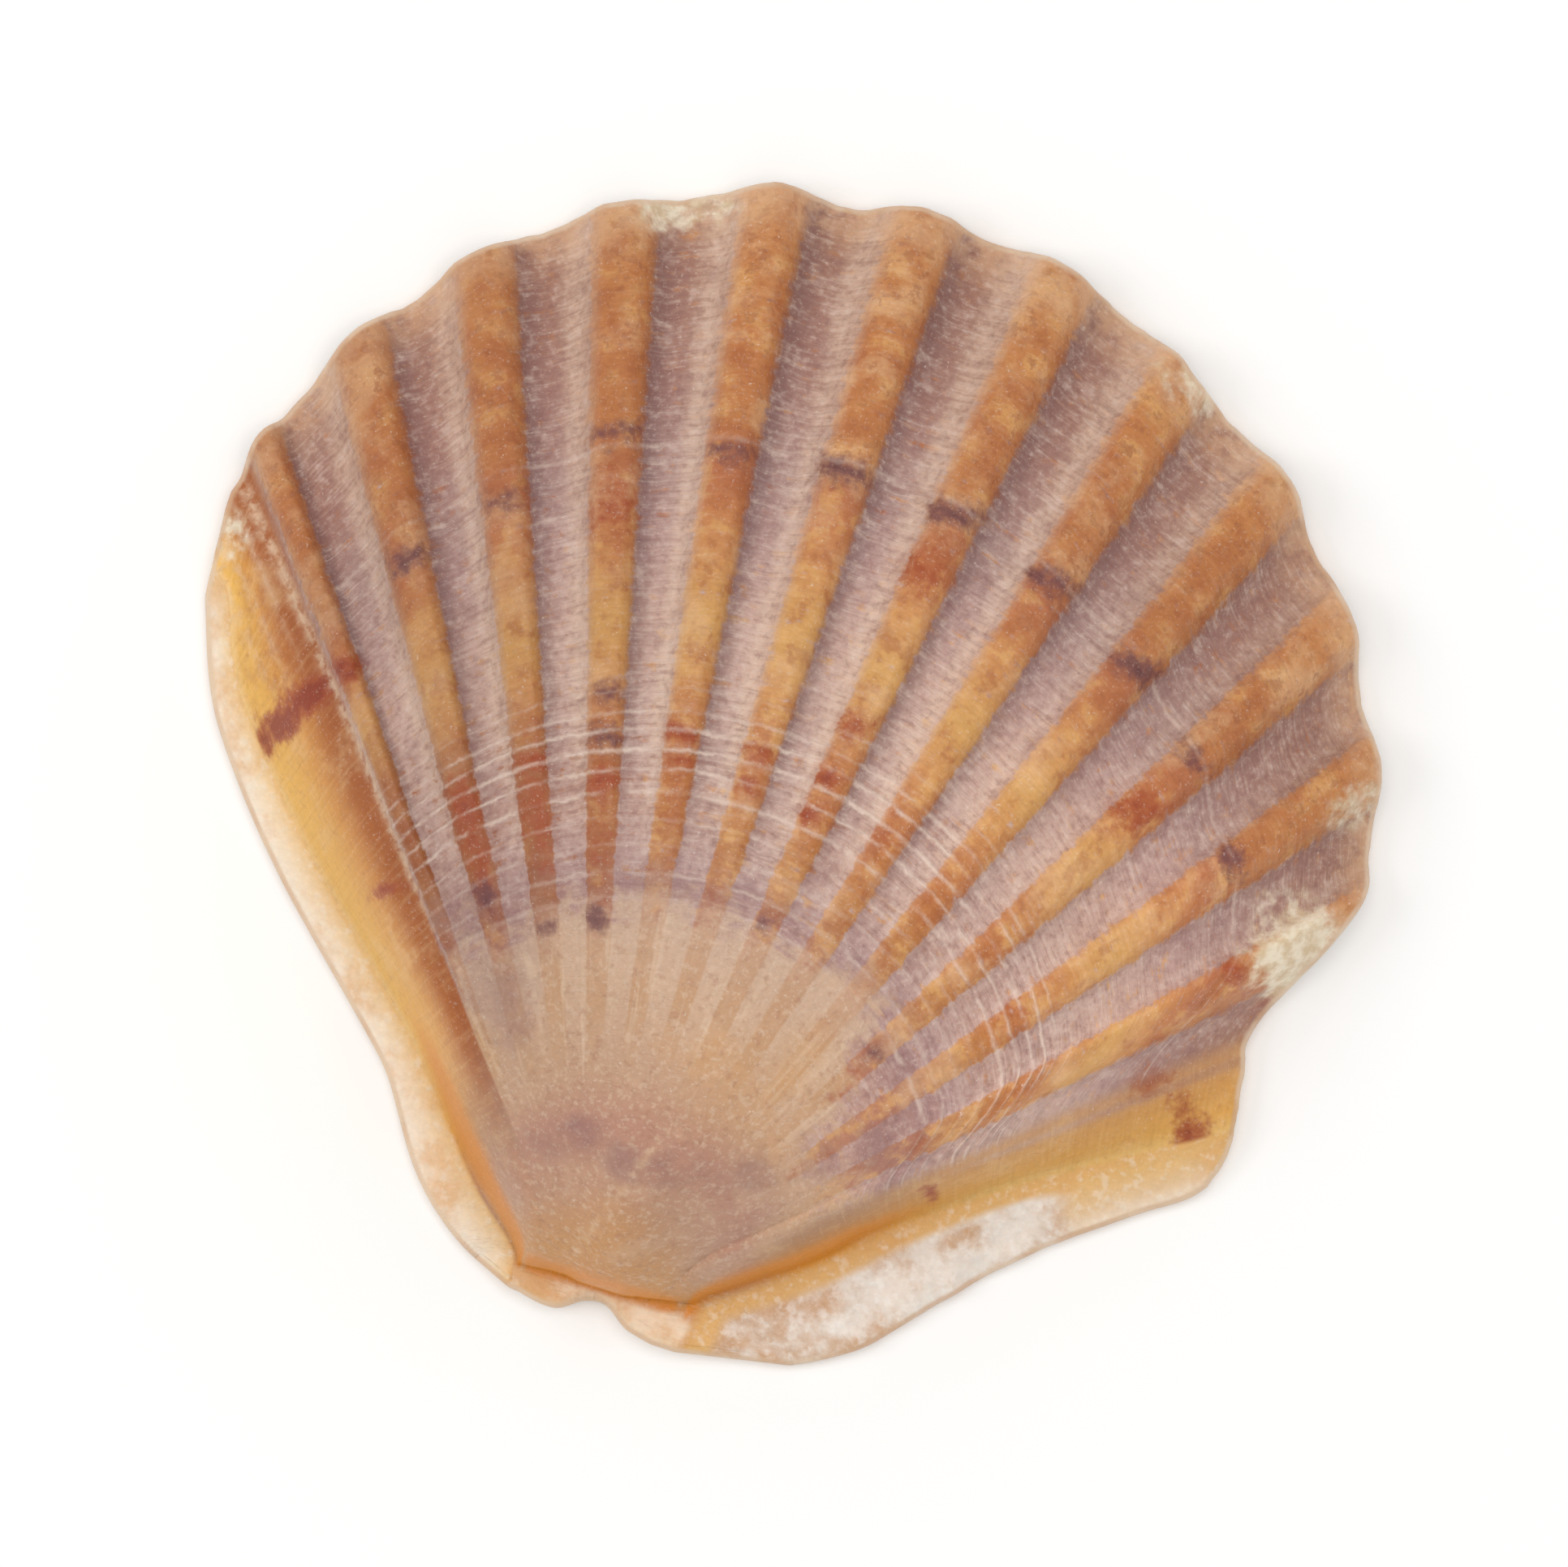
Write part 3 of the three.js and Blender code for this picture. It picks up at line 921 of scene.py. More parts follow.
@dataclass
class ScallopValve:
    """The valve: its fine surface, what varies over it, and its mesh."""

    margin: Margin = field(default_factory=Margin)
    ribs: Ribs = field(default_factory=Ribs)
    nose: Nose = field(default_factory=Nose)
    dome: Dome = field(default_factory=Dome)
    wall: Wall = field(default_factory=Wall)
    columns: Columns = field(default_factory=Columns)
    rows: Rows = field(default_factory=Rows)
    growth: Growth = field(default_factory=Growth)
    relief: Relief = field(default_factory=Relief)
    stains: Stains = field(default_factory=Stains)
    fan_tones: FanTones = field(default_factory=FanTones)
    side_tones: SideTones = field(default_factory=SideTones)
    bake_map: BakeMap = field(default_factory=BakeMap)
    rim_rows: int = 4
    lip_from: float = 0.955
    detail_from: float = 0.5

    # -- plan ---------------------------------------------------------------------------------

    def strip(self) -> np.ndarray:
        """Width of the hinge strip on each column: how far the foot line is from the hinge edge.

        Returns:
            Widths in millimetres, along each column's ray.
        """
        ray = self.columns.ray
        shoulder = np.where(ray > 0, RIGHT.shoulder, LEFT.shoulder)
        hinge = along(self.nose.hinge, self.nose.half_width * ray / shoulder)
        return (self.nose.foot_line - hinge) / np.cos(np.radians(ray))

    def way(
        self, q: np.ndarray, length: np.ndarray, mine: np.ndarray | slice = slice(None)
    ) -> np.ndarray:
        """Distance along each column at each row, with one row lying along the foot line.

        Args:
            q: shares of the rows.
            length: length of each column.
            mine: the columns asked for.

        Returns:
            Array of columns by rows.
        """
        q, strip, foot = q[None, :], self.strip()[mine, None], self.rows.foot_share
        beyond = (q - foot) / (1.0 - foot)
        return np.where(q < foot, strip * q / foot, strip + (length[:, None] - strip) * beyond)

    @staticmethod
    def line(side: Side, pairs: tuple[Span, ...], way: np.ndarray) -> np.ndarray:
        """Place on a crease or an edge, a way along from where it leaves the hinge edge."""
        distance = np.hypot(way, pairs[0][0])
        return polar(distance, side.sign * along(pairs, distance))

    def plan(self, q: np.ndarray) -> np.ndarray:
        """Plan places of every column at the shares q.

        A ray column is its ray from the beak, spread sideways near the beak by a square that
        dies out, so that the nose is blunt. A flank column is a straight blend from the shoulder
        ray to the crease, and a ledge column one from the crease to the edge.

        Args:
            q: shares of the way from the hinge edge to the margin, one for each row.

        Returns:
            Array of columns by rows by (x, y).
        """
        col = self.columns
        places = np.zeros((len(col), len(q), 2))
        for side in (LEFT, RIGHT):
            mine = col.sides == side.sign
            if side is LEFT:
                mine |= col.sides == 0
            ray, flank, ledge = (a[mine][:, None] for a in (col.ray, col.flank, col.ledge))
            end = np.where(
                ledge > 0,
                side.crease[-1][1] + (side.edge[-1][1] - side.crease[-1][1]) * ledge,
                side.shoulder + (side.crease[-1][1] - side.shoulder) * flank,
            )
            end = np.where(flank > 0, side.sign * end, ray)[:, 0]
            way = self.way(q, self.margin.reach(end), mine)
            detail = self.margin.detail(end, self.ribs.arch(end))
            way += np.outer(detail, smoothstep(q, self.detail_from, 1.0))
            spread = np.maximum(1.0 - way / self.nose.blends_out_by, 0.0) ** 2
            x = self.nose.half_width * ray / side.shoulder
            start = np.stack([x, along(self.nose.hinge, x)], axis=-1)
            on_ray = polar(way, ray) + start * spread[..., None]
            crease = self.line(side, side.crease, way)
            edge = self.line(side, side.edge, way)
            flank, ledge = flank[..., None], ledge[..., None]
            down = on_ray + (crease - on_ray) * flank
            places[mine] = np.where(ledge > 0, crease + (edge - crease) * ledge, down)
        return places

    # -- height -------------------------------------------------------------------------------

    def smooth_outer(self, q: np.ndarray) -> np.ndarray:
        """Outer surface without ribs: the plan, raised by the dome above the edge level.

        Args:
            q: shares of the rows.

        Returns:
            Array of columns by rows by (x, y, z).
        """
        col = self.columns
        length = self.margin.reach(col.ray)
        strip = self.strip()[:, None]
        way = self.way(q, length)
        risen = np.maximum(way - strip, 0.0) / (length[:, None] - strip)
        side = (length * np.cos(np.radians(col.ray)) / self.margin.reach(np.zeros(1))) ** self.dome.sides
        fall = 1.0 - col.flank[:, None] ** self.dome.fall_power(way)
        level = self.wall.margin_level + (self.wall.edge_level - self.wall.margin_level) * col.ledge
        height = level[:, None] + self.dome.height * side[:, None] * fall * self.dome.rise(risen)
        return np.concatenate([self.plan(q), height[..., None]], axis=-1)

    @staticmethod
    def upward(grid: np.ndarray) -> tuple[np.ndarray, np.ndarray]:
        """Unit normals of a grid surface, from the cross product of its two tangents."""
        normal = np.cross(np.gradient(grid, axis=0), np.gradient(grid, axis=1))
        normal /= np.maximum(np.linalg.norm(normal, axis=-1, keepdims=True), 1e-9)
        return normal, np.abs(normal[..., 2])

    def sheets(self) -> tuple[np.ndarray, np.ndarray, dict[str, np.ndarray]]:
        """Outer and inner surface of the wall.

        Returns:
            The outer grid, the inner grid, and the named fields over both.
        """
        q = self.rows.shares()
        col = self.columns
        base = self.smooth_outer(q)
        normal, up = self.upward(base)
        fan = (col.flank == 0)[:, None]
        length = self.margin.reach(col.ray)
        growth = self.growth.at(col.ray, self.way(q, length) / length[:, None])
        x, y = base[..., 0], base[..., 1]

        inner = base.copy()
        deep = self.wall.thickness / np.maximum(up, self.wall.steepest)
        inner[..., 2] = np.maximum(base[..., 2] - deep, 0.0)
        arch = smoothstep(q, self.ribs.inner_from, self.ribs.inner_full)[None, :]
        inner[..., 2] += self.ribs.inner_height * self.ribs.arch(col.ray)[:, None] * fan * arch

        outer = base.copy()
        crowned = self.ribs.crowned(col.ray)[:, None] * fan
        outer[..., 2] += self.ribs.height * crowned * self.ribs.strength(q)[None, :]
        lift = self.relief.lift(x, y, growth, q, col)
        outer += normal * lift[..., None] * np.sign(normal[..., 2:])

        lip = smoothstep(q, self.lip_from, 1.0)[None, :] * fan * np.ones_like(x)
        return outer, inner, {"growth": growth, "lip": lip, **self.tones(x, y)}

    def tones(self, x: np.ndarray, y: np.ndarray) -> dict[str, np.ndarray]:
        """Numbers over the grid that the finish reads.

        Args:
            x: plan place across.
            y: plan place along.

        Returns:
            Named grids of numbers.
        """
        flank, ledge = (a[:, None] * np.ones_like(x) for a in (self.columns.flank, self.columns.ledge))
        left = (self.columns.sides < 0)[:, None]
        at = Places(x, y, flank, ledge, left)
        spots = {
            "mauve": self.stains.mauve,
            "rust": self.stains.rust,
            "plum": self.stains.plum,
            "cream": self.stains.cream,
        }
        return {
            "phase": at.angle / self.ribs.pitch,
            "flank": flank,
            "ledge": ledge,
            "left": left * np.ones_like(x),
            "worn": self.stains.bared(at.angle, at.distance),
            **{key: self.stains.strength(kind, at.angle, at.distance) for key, kind in spots.items()},
            **self.fan_tones.lay_out(at, self.ribs.off_centre(at.angle)),
            **self.side_tones.lay_out(at),
        }

    # -- mesh ---------------------------------------------------------------------------------

    @staticmethod
    def boundary(shape: tuple[int, int]) -> np.ndarray:
        """Grid indices round the sheet: up the left edge, along the margin, down and back."""
        index = np.arange(shape[0] * shape[1]).reshape(shape)
        return np.concatenate([index[0, :], index[1:, -1], index[-1, -2::-1], index[-2:0:-1, 0]])

    def build(self) -> bpy.types.Object:
        """Join the outer sheet, the rounded rim and the inner sheet into one closed mesh.

        The rim between the two sheets is half an ellipse: its height goes from one edge to the
        other as a cosine while it stands out sideways as a sine.

        Returns:
            The object, linked to the scene.
        """
        outer, inner, fields = self.sheets()
        shape = outer.shape[:2]
        count = shape[0] * shape[1]
        loop = self.boundary(shape)
        top, bottom = outer.reshape(-1, 3)[loop], inner.reshape(-1, 3)[loop]

        tangent = np.roll(top, -1, axis=0) - np.roll(top, 1, axis=0)
        away = np.stack([-tangent[:, 1], tangent[:, 0], 0 * tangent[:, 0]], axis=-1)
        away /= np.maximum(np.linalg.norm(away, axis=1, keepdims=True), 1e-9)
        turns = np.arange(1, self.rim_rows + 1) / (self.rim_rows + 1) * math.pi
        rim = [
            top + (bottom - top) * (1 - math.cos(t)) / 2 + away * self.wall.rim_bulge * math.sin(t)
            for t in turns
        ]
        points = np.concatenate([outer.reshape(-1, 3), inner.reshape(-1, 3), *rim])

        index = np.arange(count).reshape(shape)
        a, b, c, d = index[:-1, :-1], index[1:, :-1], index[1:, 1:], index[:-1, 1:]
        over = np.stack([a, b, c, d], axis=-1).reshape(-1, 4)
        under = over[:, [1, 0, 3, 2]] + count
        rows = 2 * count + np.arange(self.rim_rows * len(loop)).reshape(self.rim_rows, -1)
        rings = [loop, *rows, loop + count]
        bands = [
            np.stack([high, np.roll(high, -1), np.roll(low, -1), low], axis=-1)
            for high, low in zip(rings[:-1], rings[1:])
        ]
        faces = np.concatenate([over, under, *bands])

        mesh = bpy.data.meshes.new("worn_valve")
        mesh.from_pydata(self.in_frame(points).tolist(), [], faces.tolist())
        mesh.update()
        for name, grid in fields.items():
            flat = grid.reshape(-1)
            self.attribute(mesh, name, np.concatenate([flat, flat, *[flat[loop]] * self.rim_rows]))
        sheet = np.concatenate([
            np.full(count, Sheet.OUTER.value),
            np.full(count, Sheet.INNER.value),
            np.full(len(loop) * self.rim_rows, Sheet.RIM.value),
        ])
        self.attribute(mesh, "sheet", sheet)
        self.bake_map.lay_out(mesh, points, count, loop, away)
        mesh.polygons.foreach_set("use_smooth", np.ones(len(faces), dtype=bool))
        mesh.materials.append(WornShell().build("sea_worn_calcite_shell"))
        valve = bpy.data.objects.new("worn_valve", mesh)
        bpy.context.scene.collection.objects.link(valve)
        return valve

    @staticmethod
    def attribute(mesh: bpy.types.Mesh, name: str, values: np.ndarray) -> None:
        """Store one number for each vertex under a name that the material reads."""
        mesh.attributes.new(name, "FLOAT", "POINT").data.foreach_set("value", values.astype(np.float32))

    @staticmethod
    def in_frame(points: np.ndarray) -> np.ndarray:
        """Move the points so that the valve stands where its CAD solid does, in metres.

        Args:
            points: places in millimetres.

        Returns:
            Places in metres.
        """
        low, high = (np.array(corner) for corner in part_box(NODE))
        mine = points * MM
        shift = (low + high) / 2 - (mine.min(axis=0) + mine.max(axis=0)) / 2
        shift[2] = low[2] - mine[:, 2].min()
        return mine + shift


# ---------------------------------------------------------------------------------------------
# Finishes
# ---------------------------------------------------------------------------------------------


def linear(code: str) -> tuple[float, float, float, float]:
    """Turn an sRGB hex colour into linear red, green, blue and alpha."""
    parts = [int(code[i : i + 2], 16) / 255 for i in (0, 2, 4)]
    return (*[p / 12.92 if p <= 0.04045 else ((p + 0.055) / 1.055) ** 2.4 for p in parts], 1.0)


Socket = bpy.types.NodeSocket
Value = Socket | float | str | tuple
Coat = tuple[Value, ...]


class Kind(Enum):
    """Nodes that a finish is made of: type, inputs in the order given, output and settings."""

    STORED = ("Attribute", (), "Fac", {})
    PLACE = ("TexCoord", (), "Object", {})
    NOISE = ("TexNoise", ("Vector", "Scale", "Detail", "Roughness"), "Fac", {})
    SPREAD = ("MapRange", ("Value", "From Min", "From Max"), "Result", {})
    STEP = ("MapRange", ("Value", "From Min", "From Max"), "Result", {"interpolation_type": "SMOOTHSTEP"})
    RAMP = ("ValToRGB", ("Fac",), "Color", {})
    PLUS = ("Math", (0, 1), 0, {"operation": "ADD"})
    MINUS = ("Math", (0, 1), 0, {"operation": "SUBTRACT"})
    TIMES = ("Math", (0, 1), 0, {"operation": "MULTIPLY"})
    OVER = ("Math", (0, 1), 0, {"operation": "DIVIDE"})
    TIMES_PLUS = ("Math", (0, 1, 2), 0, {"operation": "MULTIPLY_ADD"})
    LARGER = ("Math", (0, 1), 0, {"operation": "MAXIMUM"})
    POSITIVE = ("Math", (0,), 0, {"operation": "ABSOLUTE"})
    PAIR = ("CombineXYZ", (0, 1), 0, {})
    GREY = ("CombineColor", (0, 1, 2), 0, {})
    MIX = ("Mix", (0, 6, 7), 2, {"data_type": "RGBA"})
    SHADE = ("Mix", (0, 6, 7), 2, {"data_type": "RGBA", "blend_type": "MULTIPLY"})
    BUMP = ("Bump", ("Strength", "Distance", "Height"), "Normal", {})


@dataclass
class Painting:
    """A material's nodes while its coats are laid, and the fields that the coats read.

    A value is a number, a colour, another node's output, the name of a field, or
    (value, low, high), which rises smoothly from 0 at low to 1 at high.
    """

    tree: bpy.types.NodeTree
    fields: dict[str, Value] = field(default_factory=dict)

    def add(self, kind: Kind, *values: Value, **settings: object) -> Socket:
        """Add a node, set it up and wire it.

        Args:
            kind: what node it is.
            values: what goes into each input, in the kind's order.
            settings: properties of the node, besides the kind's own.

        Returns:
            The kind's output.
        """
        name, order, output, given = kind.value
        node = self.tree.nodes.new(f"ShaderNode{name}")
        for key, setting in {**given, **settings}.items():
            setattr(node, key, setting)
        for key, value in zip(order, values):
            value = self.read(value)
            if isinstance(value, Socket):
                self.tree.links.new(value, node.inputs[key])
            else:
                node.inputs[key].default_value = value
        return node.outputs[output]

    def read(self, value: Value) -> Value:
        """Turn a field's name into the field, and (value, low, high) into its smooth step.

        Args:
            value: any value.

        Returns:
            A number, a colour or an output.
        """
        if isinstance(value, str):
            return self.fields[value]
        if isinstance(value, tuple) and not isinstance(value[0], float):
            return self.add(Kind.STEP, *value)
        return value

    def meet(self, *shares: Value) -> Value:
        """Product of the shares, which is high where all of them are.

        Args:
            shares: values to multiply, in order.

        Returns:
            Their product.
        """
        product = self.read(shares[0])
        for share in shares[1:]:
            product = self.add(Kind.TIMES, product, share)
        return product

    def roughen(self, base: Value, by: Value, amount: float) -> Socket:
        """Push a value up and down by a random field: base + (by - 0.5) * amount."""
        return self.add(Kind.TIMES_PLUS, self.add(Kind.MINUS, by, 0.5), amount, base)

    def lay(self, colour: Value, *coats: Coat) -> Value:
        """Lay coats over a colour.

        Args:
            colour: what is already there.
            coats: for each coat its colour, as hex or an output, and the shares that have to
                meet where it lies.

        Returns:
            The colour with all the coats on it.
        """
        for over, *shares in coats:
            over = linear(over) if isinstance(over, str) else over
            colour = self.add(Kind.MIX, self.meet(*shares), colour, over)
        return colour


@dataclass(frozen=True)
class Ramp:
    """Colours along a length: (place, sRGB hex) pairs from low to high."""

    stops: tuple[tuple[float, str], ...]

    def over(self, painting: Painting, value: Value) -> Socket:
        """Colour at a value, with the stops spread from the first one's place to the last one's.

        Args:
            painting: the nodes and fields to work with.
            value: where on the ramp each point lies.

        Returns:
            The colour there.
        """
        low, high = self.stops[0][0], self.stops[-1][0]
        output = painting.add(Kind.RAMP, painting.add(Kind.SPREAD, value, low, high))
        stops = output.node.color_ramp.elements
        while len(stops) < len(self.stops):
            stops.new(0.5)
        for stop, (place, code) in zip(stops, self.stops):
            stop.position = (place - low) / (high - low)
            stop.color = linear(code)
        return output


@dataclass(frozen=True)
class WornShell:
    """Sea-worn calcite shell, pigmented in bands as it grew.

    The mineral is a little translucent and polished only by sand, so it gives soft, low gloss
    (IOR 1.6, roughness about a half). Pigment sits in the ribs, the grooves stay mauve, and the
    fine growth lines catch the light as pale threads. Ramps on the fan run along the growth
    coordinate, and ramps on a flank or a ledge run across it.
    """

    ior: float = 1.6
    polish: float = 0.32
    roughness: float = 0.50
    roughness_spread: float = 0.16
    inside_roughness: float = 0.28
    glow_through: float = 0.12
    glow_radius: tuple[float, float, float] = (1.0, 0.55, 0.35)
    glow_depth: float = 1.2  # mm
    # Random fields: name, size of a feature in mm, detail. The finest are sand scratches and
    # dust pits, drawn a little coarser than they are so that they show.
    grains: tuple[tuple[str, float, float], ...] = (
        ("cloud", 9.0, 3.0), ("patch", 2.6, 4.0), ("bits", 1.5, 4.0), ("gaps", 1.3, 3.0),
        ("cells", 1.1, 3.0), ("smears", 0.9, 4.0), ("blots", 0.9, 3.0), ("crumbs", 0.8, 4.0),
        ("chalk", 0.7, 4.0), ("scuffs", 0.6, 3.0), ("spots", 0.55, 3.0), ("frays", 0.5, 3.0),
        ("speck", 0.45, 2.0), ("dots", 0.4, 3.0), ("sand", 0.35, 3.0), ("breaks", 0.35, 2.0),
        ("pits", 0.3, 3.0), ("tones", 0.28, 3.0), ("grit", 0.16, 1.0), ("dust", 0.13, 1.0),
    )
    grain_roughness: float = 0.6
    # Random fields drawn out along the growth lines: name, features in a rib pitch, size of a
    # feature across the lines in mm.
    lines: tuple[tuple[str, float, float], ...] = (("threads", 2.0, 0.17), ("rows", 1.0, 0.28))
    ribs: Ramp = Ramp((
        (6.0, "b98a60"), (10.0, "b98666"), (14.0, "b7785c"), (16.7, "ab7058"), (17.6, "b87a4e"),
        (19.2, "bf7f45"), (21.0, "bd743a"), (23.0, "be7643"), (25.0, "cb8c50"), (27.5, "d6a05a"),
        (30.0, "cf9054"), (32.0, "c27a46"), (33.6, "b66c43"), (35.5, "bd7842"), (39.0, "bd7640"),
        (42.0, "c47f45"), (45.0, "c98b56"),
    ))
    grooves: Ramp = Ramp((
        (6.0, "c0988a"), (14.0, "bd9486"), (16.7, "ad8680"), (18.0, "b8958e"), (20.0, "c09a8c"),
        (22.5, "c3a094"), (25.0, "caa89a"), (28.0, "caa698"), (31.0, "bc9890"), (34.0, "b08e86"),
        (38.0, "a77c6f"), (41.5, "a67a69"), (45.0, "a5745e"),
    ))
    bare_ribs: Ramp = Ramp((
        (0.0, "d08a40"), (2.5, "c89056"), (5.0, "bf9070"), (7.5, "b9876f"), (9.5, "c49872"),
        (13.0, "c2946c"), (16.5, "c4987a"),
    ))
    bare_grooves: Ramp = Ramp((
        (0.0, "d08a40"), (2.5, "c89056"), (5.0, "c09274"), (7.5, "bb8a74"), (9.5, "c59c7e"),
        (13.0, "cda98c"), (16.5, "ccab92"),
    ))
    left_flank: Ramp = Ramp((
        (0.0, "a85c28"), (0.15, "b2682e"), (0.42, "d4903c"), (0.72, "e6ac4c"), (0.9, "ecb65a"),
        (1.0, "efc482"),
    ))
    right_flank: Ramp = Ramp((
        (0.0, "c48a5c"), (0.35, "cf9860"), (0.6, "d59a52"), (0.85, "dda451"), (1.0, "e6b86c"),
    ))
    near_flank: Ramp = Ramp(((0.0, "b0866e"), (0.45, "b48258"), (0.7, "bf803c"), (1.0, "e0962c")))
    left_ledge: Ramp = Ramp(((0.0, "e6b26a"), (0.2, "edc894"), (0.6, "f3dab8"), (1.0, "f6e4ce")))
    right_ledge: Ramp = Ramp(((0.0, "deaa62"), (0.4, "e4b878"), (0.8, "e7c59a"), (1.0, "f0d8bc")))
    # Speckled pigment and pale cells on the ribs, painted highlight (partly a paler wall) on their left
    # sides, painted shade right of them, and pale and dark growth threads in the grooves.
    fan_coats: tuple[Coat, ...] = (
        ("e2ac68", ("cells", 0.50, 0.66), "on_rib", 0.55),
        ("a55a30", ("cells", 0.48, 0.34), "on_rib", 0.50),
        ("e6b888", ("patch", 0.48, 0.68), "on_rib", 0.50),
        ("964c28", ("spots", 0.50, 0.66), "on_rib", ("wander", 30.0, 36.0), 0.52),
        # Painted highlight on the ribs' left walls, partly their own paler colour.
        ("ecccb2", "lit_side", "lit_rows", 0.85),
        # Painted shade in the groove just right of each rib.
        ("6f4a4c", "dim_side", 0.54),
        ("dcc0b2", ("cells", 0.50, 0.70), "groove", 0.26),
        ("8f6664", ("cells", 0.48, 0.30), "groove", 0.26),
        ("e2c8bc", ("sand", 0.50, 0.74), "groove", 0.26),
        ("87605c", ("sand", 0.50, 0.28), "groove", 0.26),
        ("e9d2c2", "pale_thread", "pale_share"),
        ("84544c", ("broken_thread", 0.54, 0.26), "dark_share"),
    )
    bare_coats: tuple[Coat, ...] = (
        ("d6b091", ("patch", 0.5, 0.7), 0.40),
        ("e2c6ab", ("streak", 0.54, 0.70), ("wander", 7.0, 11.0), 0.45),
        ("cf9a5e", ("cloud", 0.5, 0.66), ("wander", 7.0, 11.0), 0.35),
        ("a9775c", ("speck", 0.55, 0.7), 0.35),
        ("dcbfa4", ("pits", 0.52, 0.66), 0.40),
    )
    flank_coats: tuple[Coat, ...] = (
        ("a8592e", "mottle", ("smears", 0.40, 0.66), 0.62),
        ("ecc38c", ("patch", 0.5, 0.7), 0.35),
        ("b8743c", ("dots", 0.55, 0.7), 0.25),
        ("f0cc96", ("rows", 0.50, 0.72), 0.14),
        ("98562c", ("rows", 0.50, 0.28), 0.12),
    )
    # Stains: field, soft outer colour, core colour.
    stains: tuple[tuple[str, str, str], ...] = (("rust", "a34a24", "8a3018"), ("plum", "744444", "54282c"))
    # Pale growth lines that stand up: growth coordinate, half width, strength.
    raised: tuple[tuple[float, float, float], ...] = (
        (16.5, 0.16, 0.55), (17.5, 0.14, 0.45), (18.6, 0.13, 0.25), (19.6, 0.12, 0.35),
        (20.7, 0.14, 0.75), (21.6, 0.12, 0.75), (22.4, 0.14, 0.90), (23.2, 0.13, 0.80),
        (23.9, 0.12, 0.60), (24.8, 0.10, 0.30), (34.8, 0.15, 0.35),
    )

    def build(self, name: str) -> bpy.types.Material:
        """Make the material.

        Args:
            name: name of the material.

        Returns:
            A material that reads the fields that the valve stores on its vertices.
        """
        material = bpy.data.materials.new(name)
        material.use_nodes = True
        painting = Painting(material.node_tree)
        self.read_fields(painting)
        self.find_borders(painting)
        colour = self.paint_fan(painting)
        colour = self.paint_umbo(painting, colour)
        colour = self.paint_flanks(painting, colour)
        colour = self.paint_stains(painting, colour)
        colour = self.paint_edges(painting, colour)
        colour = self.paint_lines(painting, colour)
        colour = self.paint_tone(painting, colour)
        colour = self.paint_inside(painting, colour)
        wired = {
            "Base Color": colour,
            "Roughness": self.sheen(painting),
            "Normal": self.relief(painting),
        }
        shader = material.node_tree.nodes["Principled BSDF"]
        for key, output in wired.items():
            material.node_tree.links.new(output, shader.inputs[key])
        shader.inputs["IOR"].default_value = self.ior
        shader.inputs["Specular IOR Level"].default_value = self.polish
        shader.inputs["Subsurface Weight"].default_value = self.glow_through
        shader.inputs["Subsurface Radius"].default_value = self.glow_radius
        shader.inputs["Subsurface Scale"].default_value = self.glow_depth * MM
        LOG.info("%s: %d nodes", name, len(material.node_tree.nodes))
        return material

    def read_fields(self, painting: Painting) -> None:
        """Fetch the stored fields and lay out the random ones.

        A field drawn out along the growth lines is random on the plane of the turn round the
        fan and the distance across the lines.

        Args:
            painting: the nodes and fields to work with.
        """
        fields, add = painting.fields, painting.add
        for key in STORED:
            fields[key] = add(Kind.STORED, attribute_name=key)
        place = add(Kind.PLACE)
        for key, size, detail in self.grains:
            fields[key] = add(Kind.NOISE, place, 1.0 / (size * MM), detail, self.grain_roughness)
        # Growth lines wander a little, as the animal's edge did.
        fields["wander"] = painting.roughen("growth", "patch", 1.2)
        fields["steady"] = painting.roughen("growth", "patch", 0.45)
        for key, per_pitch, spacing in self.lines:
            plane = add(Kind.PAIR, painting.meet("phase", per_pitch), add(Kind.OVER, "steady", spacing))
            fields[key] = add(Kind.NOISE, plane, 1.0, 2.0, self.grain_roughness)
        plane = add(Kind.PAIR, painting.meet("phase", 3.0), painting.meet("steady", 0.12))
        fields["streak"] = add(Kind.NOISE, plane, 1.0, 3.0, self.grain_roughness)

    def find_borders(self, painting: Painting) -> None:
        """Work out the ragged borders between ribs, grooves, bared shell and the inside.

        Args:
            painting: the nodes and fields to work with.
        """
        fields, add, roughen = painting.fields, painting.add, painting.roughen
        fields["inside"] = painting.read(("sheet", 0.55, 0.85))
        fields["on_rib"] = painting.read((roughen(roughen("pigment", "rows", 1.5), "frays", 1.9), 0.15, 0.80))
        bared = roughen(roughen(roughen("worn", "rows", 0.9), "crumbs", 1.6), "patch", 1.3)
        fields["bared"] = painting.read((bared, 0.15, 0.85))
        off_rib, off_flank = add(Kind.MINUS, 1.0, "on_rib"), add(Kind.MINUS, 1.0, "amber")
        fields["groove"] = painting.meet(off_rib, off_flank)
        fields["broken_thread"] = roughen("threads", "breaks", 0.5)
        fields["pale_thread"] = painting.read(("broken_thread", 0.46, 0.76))

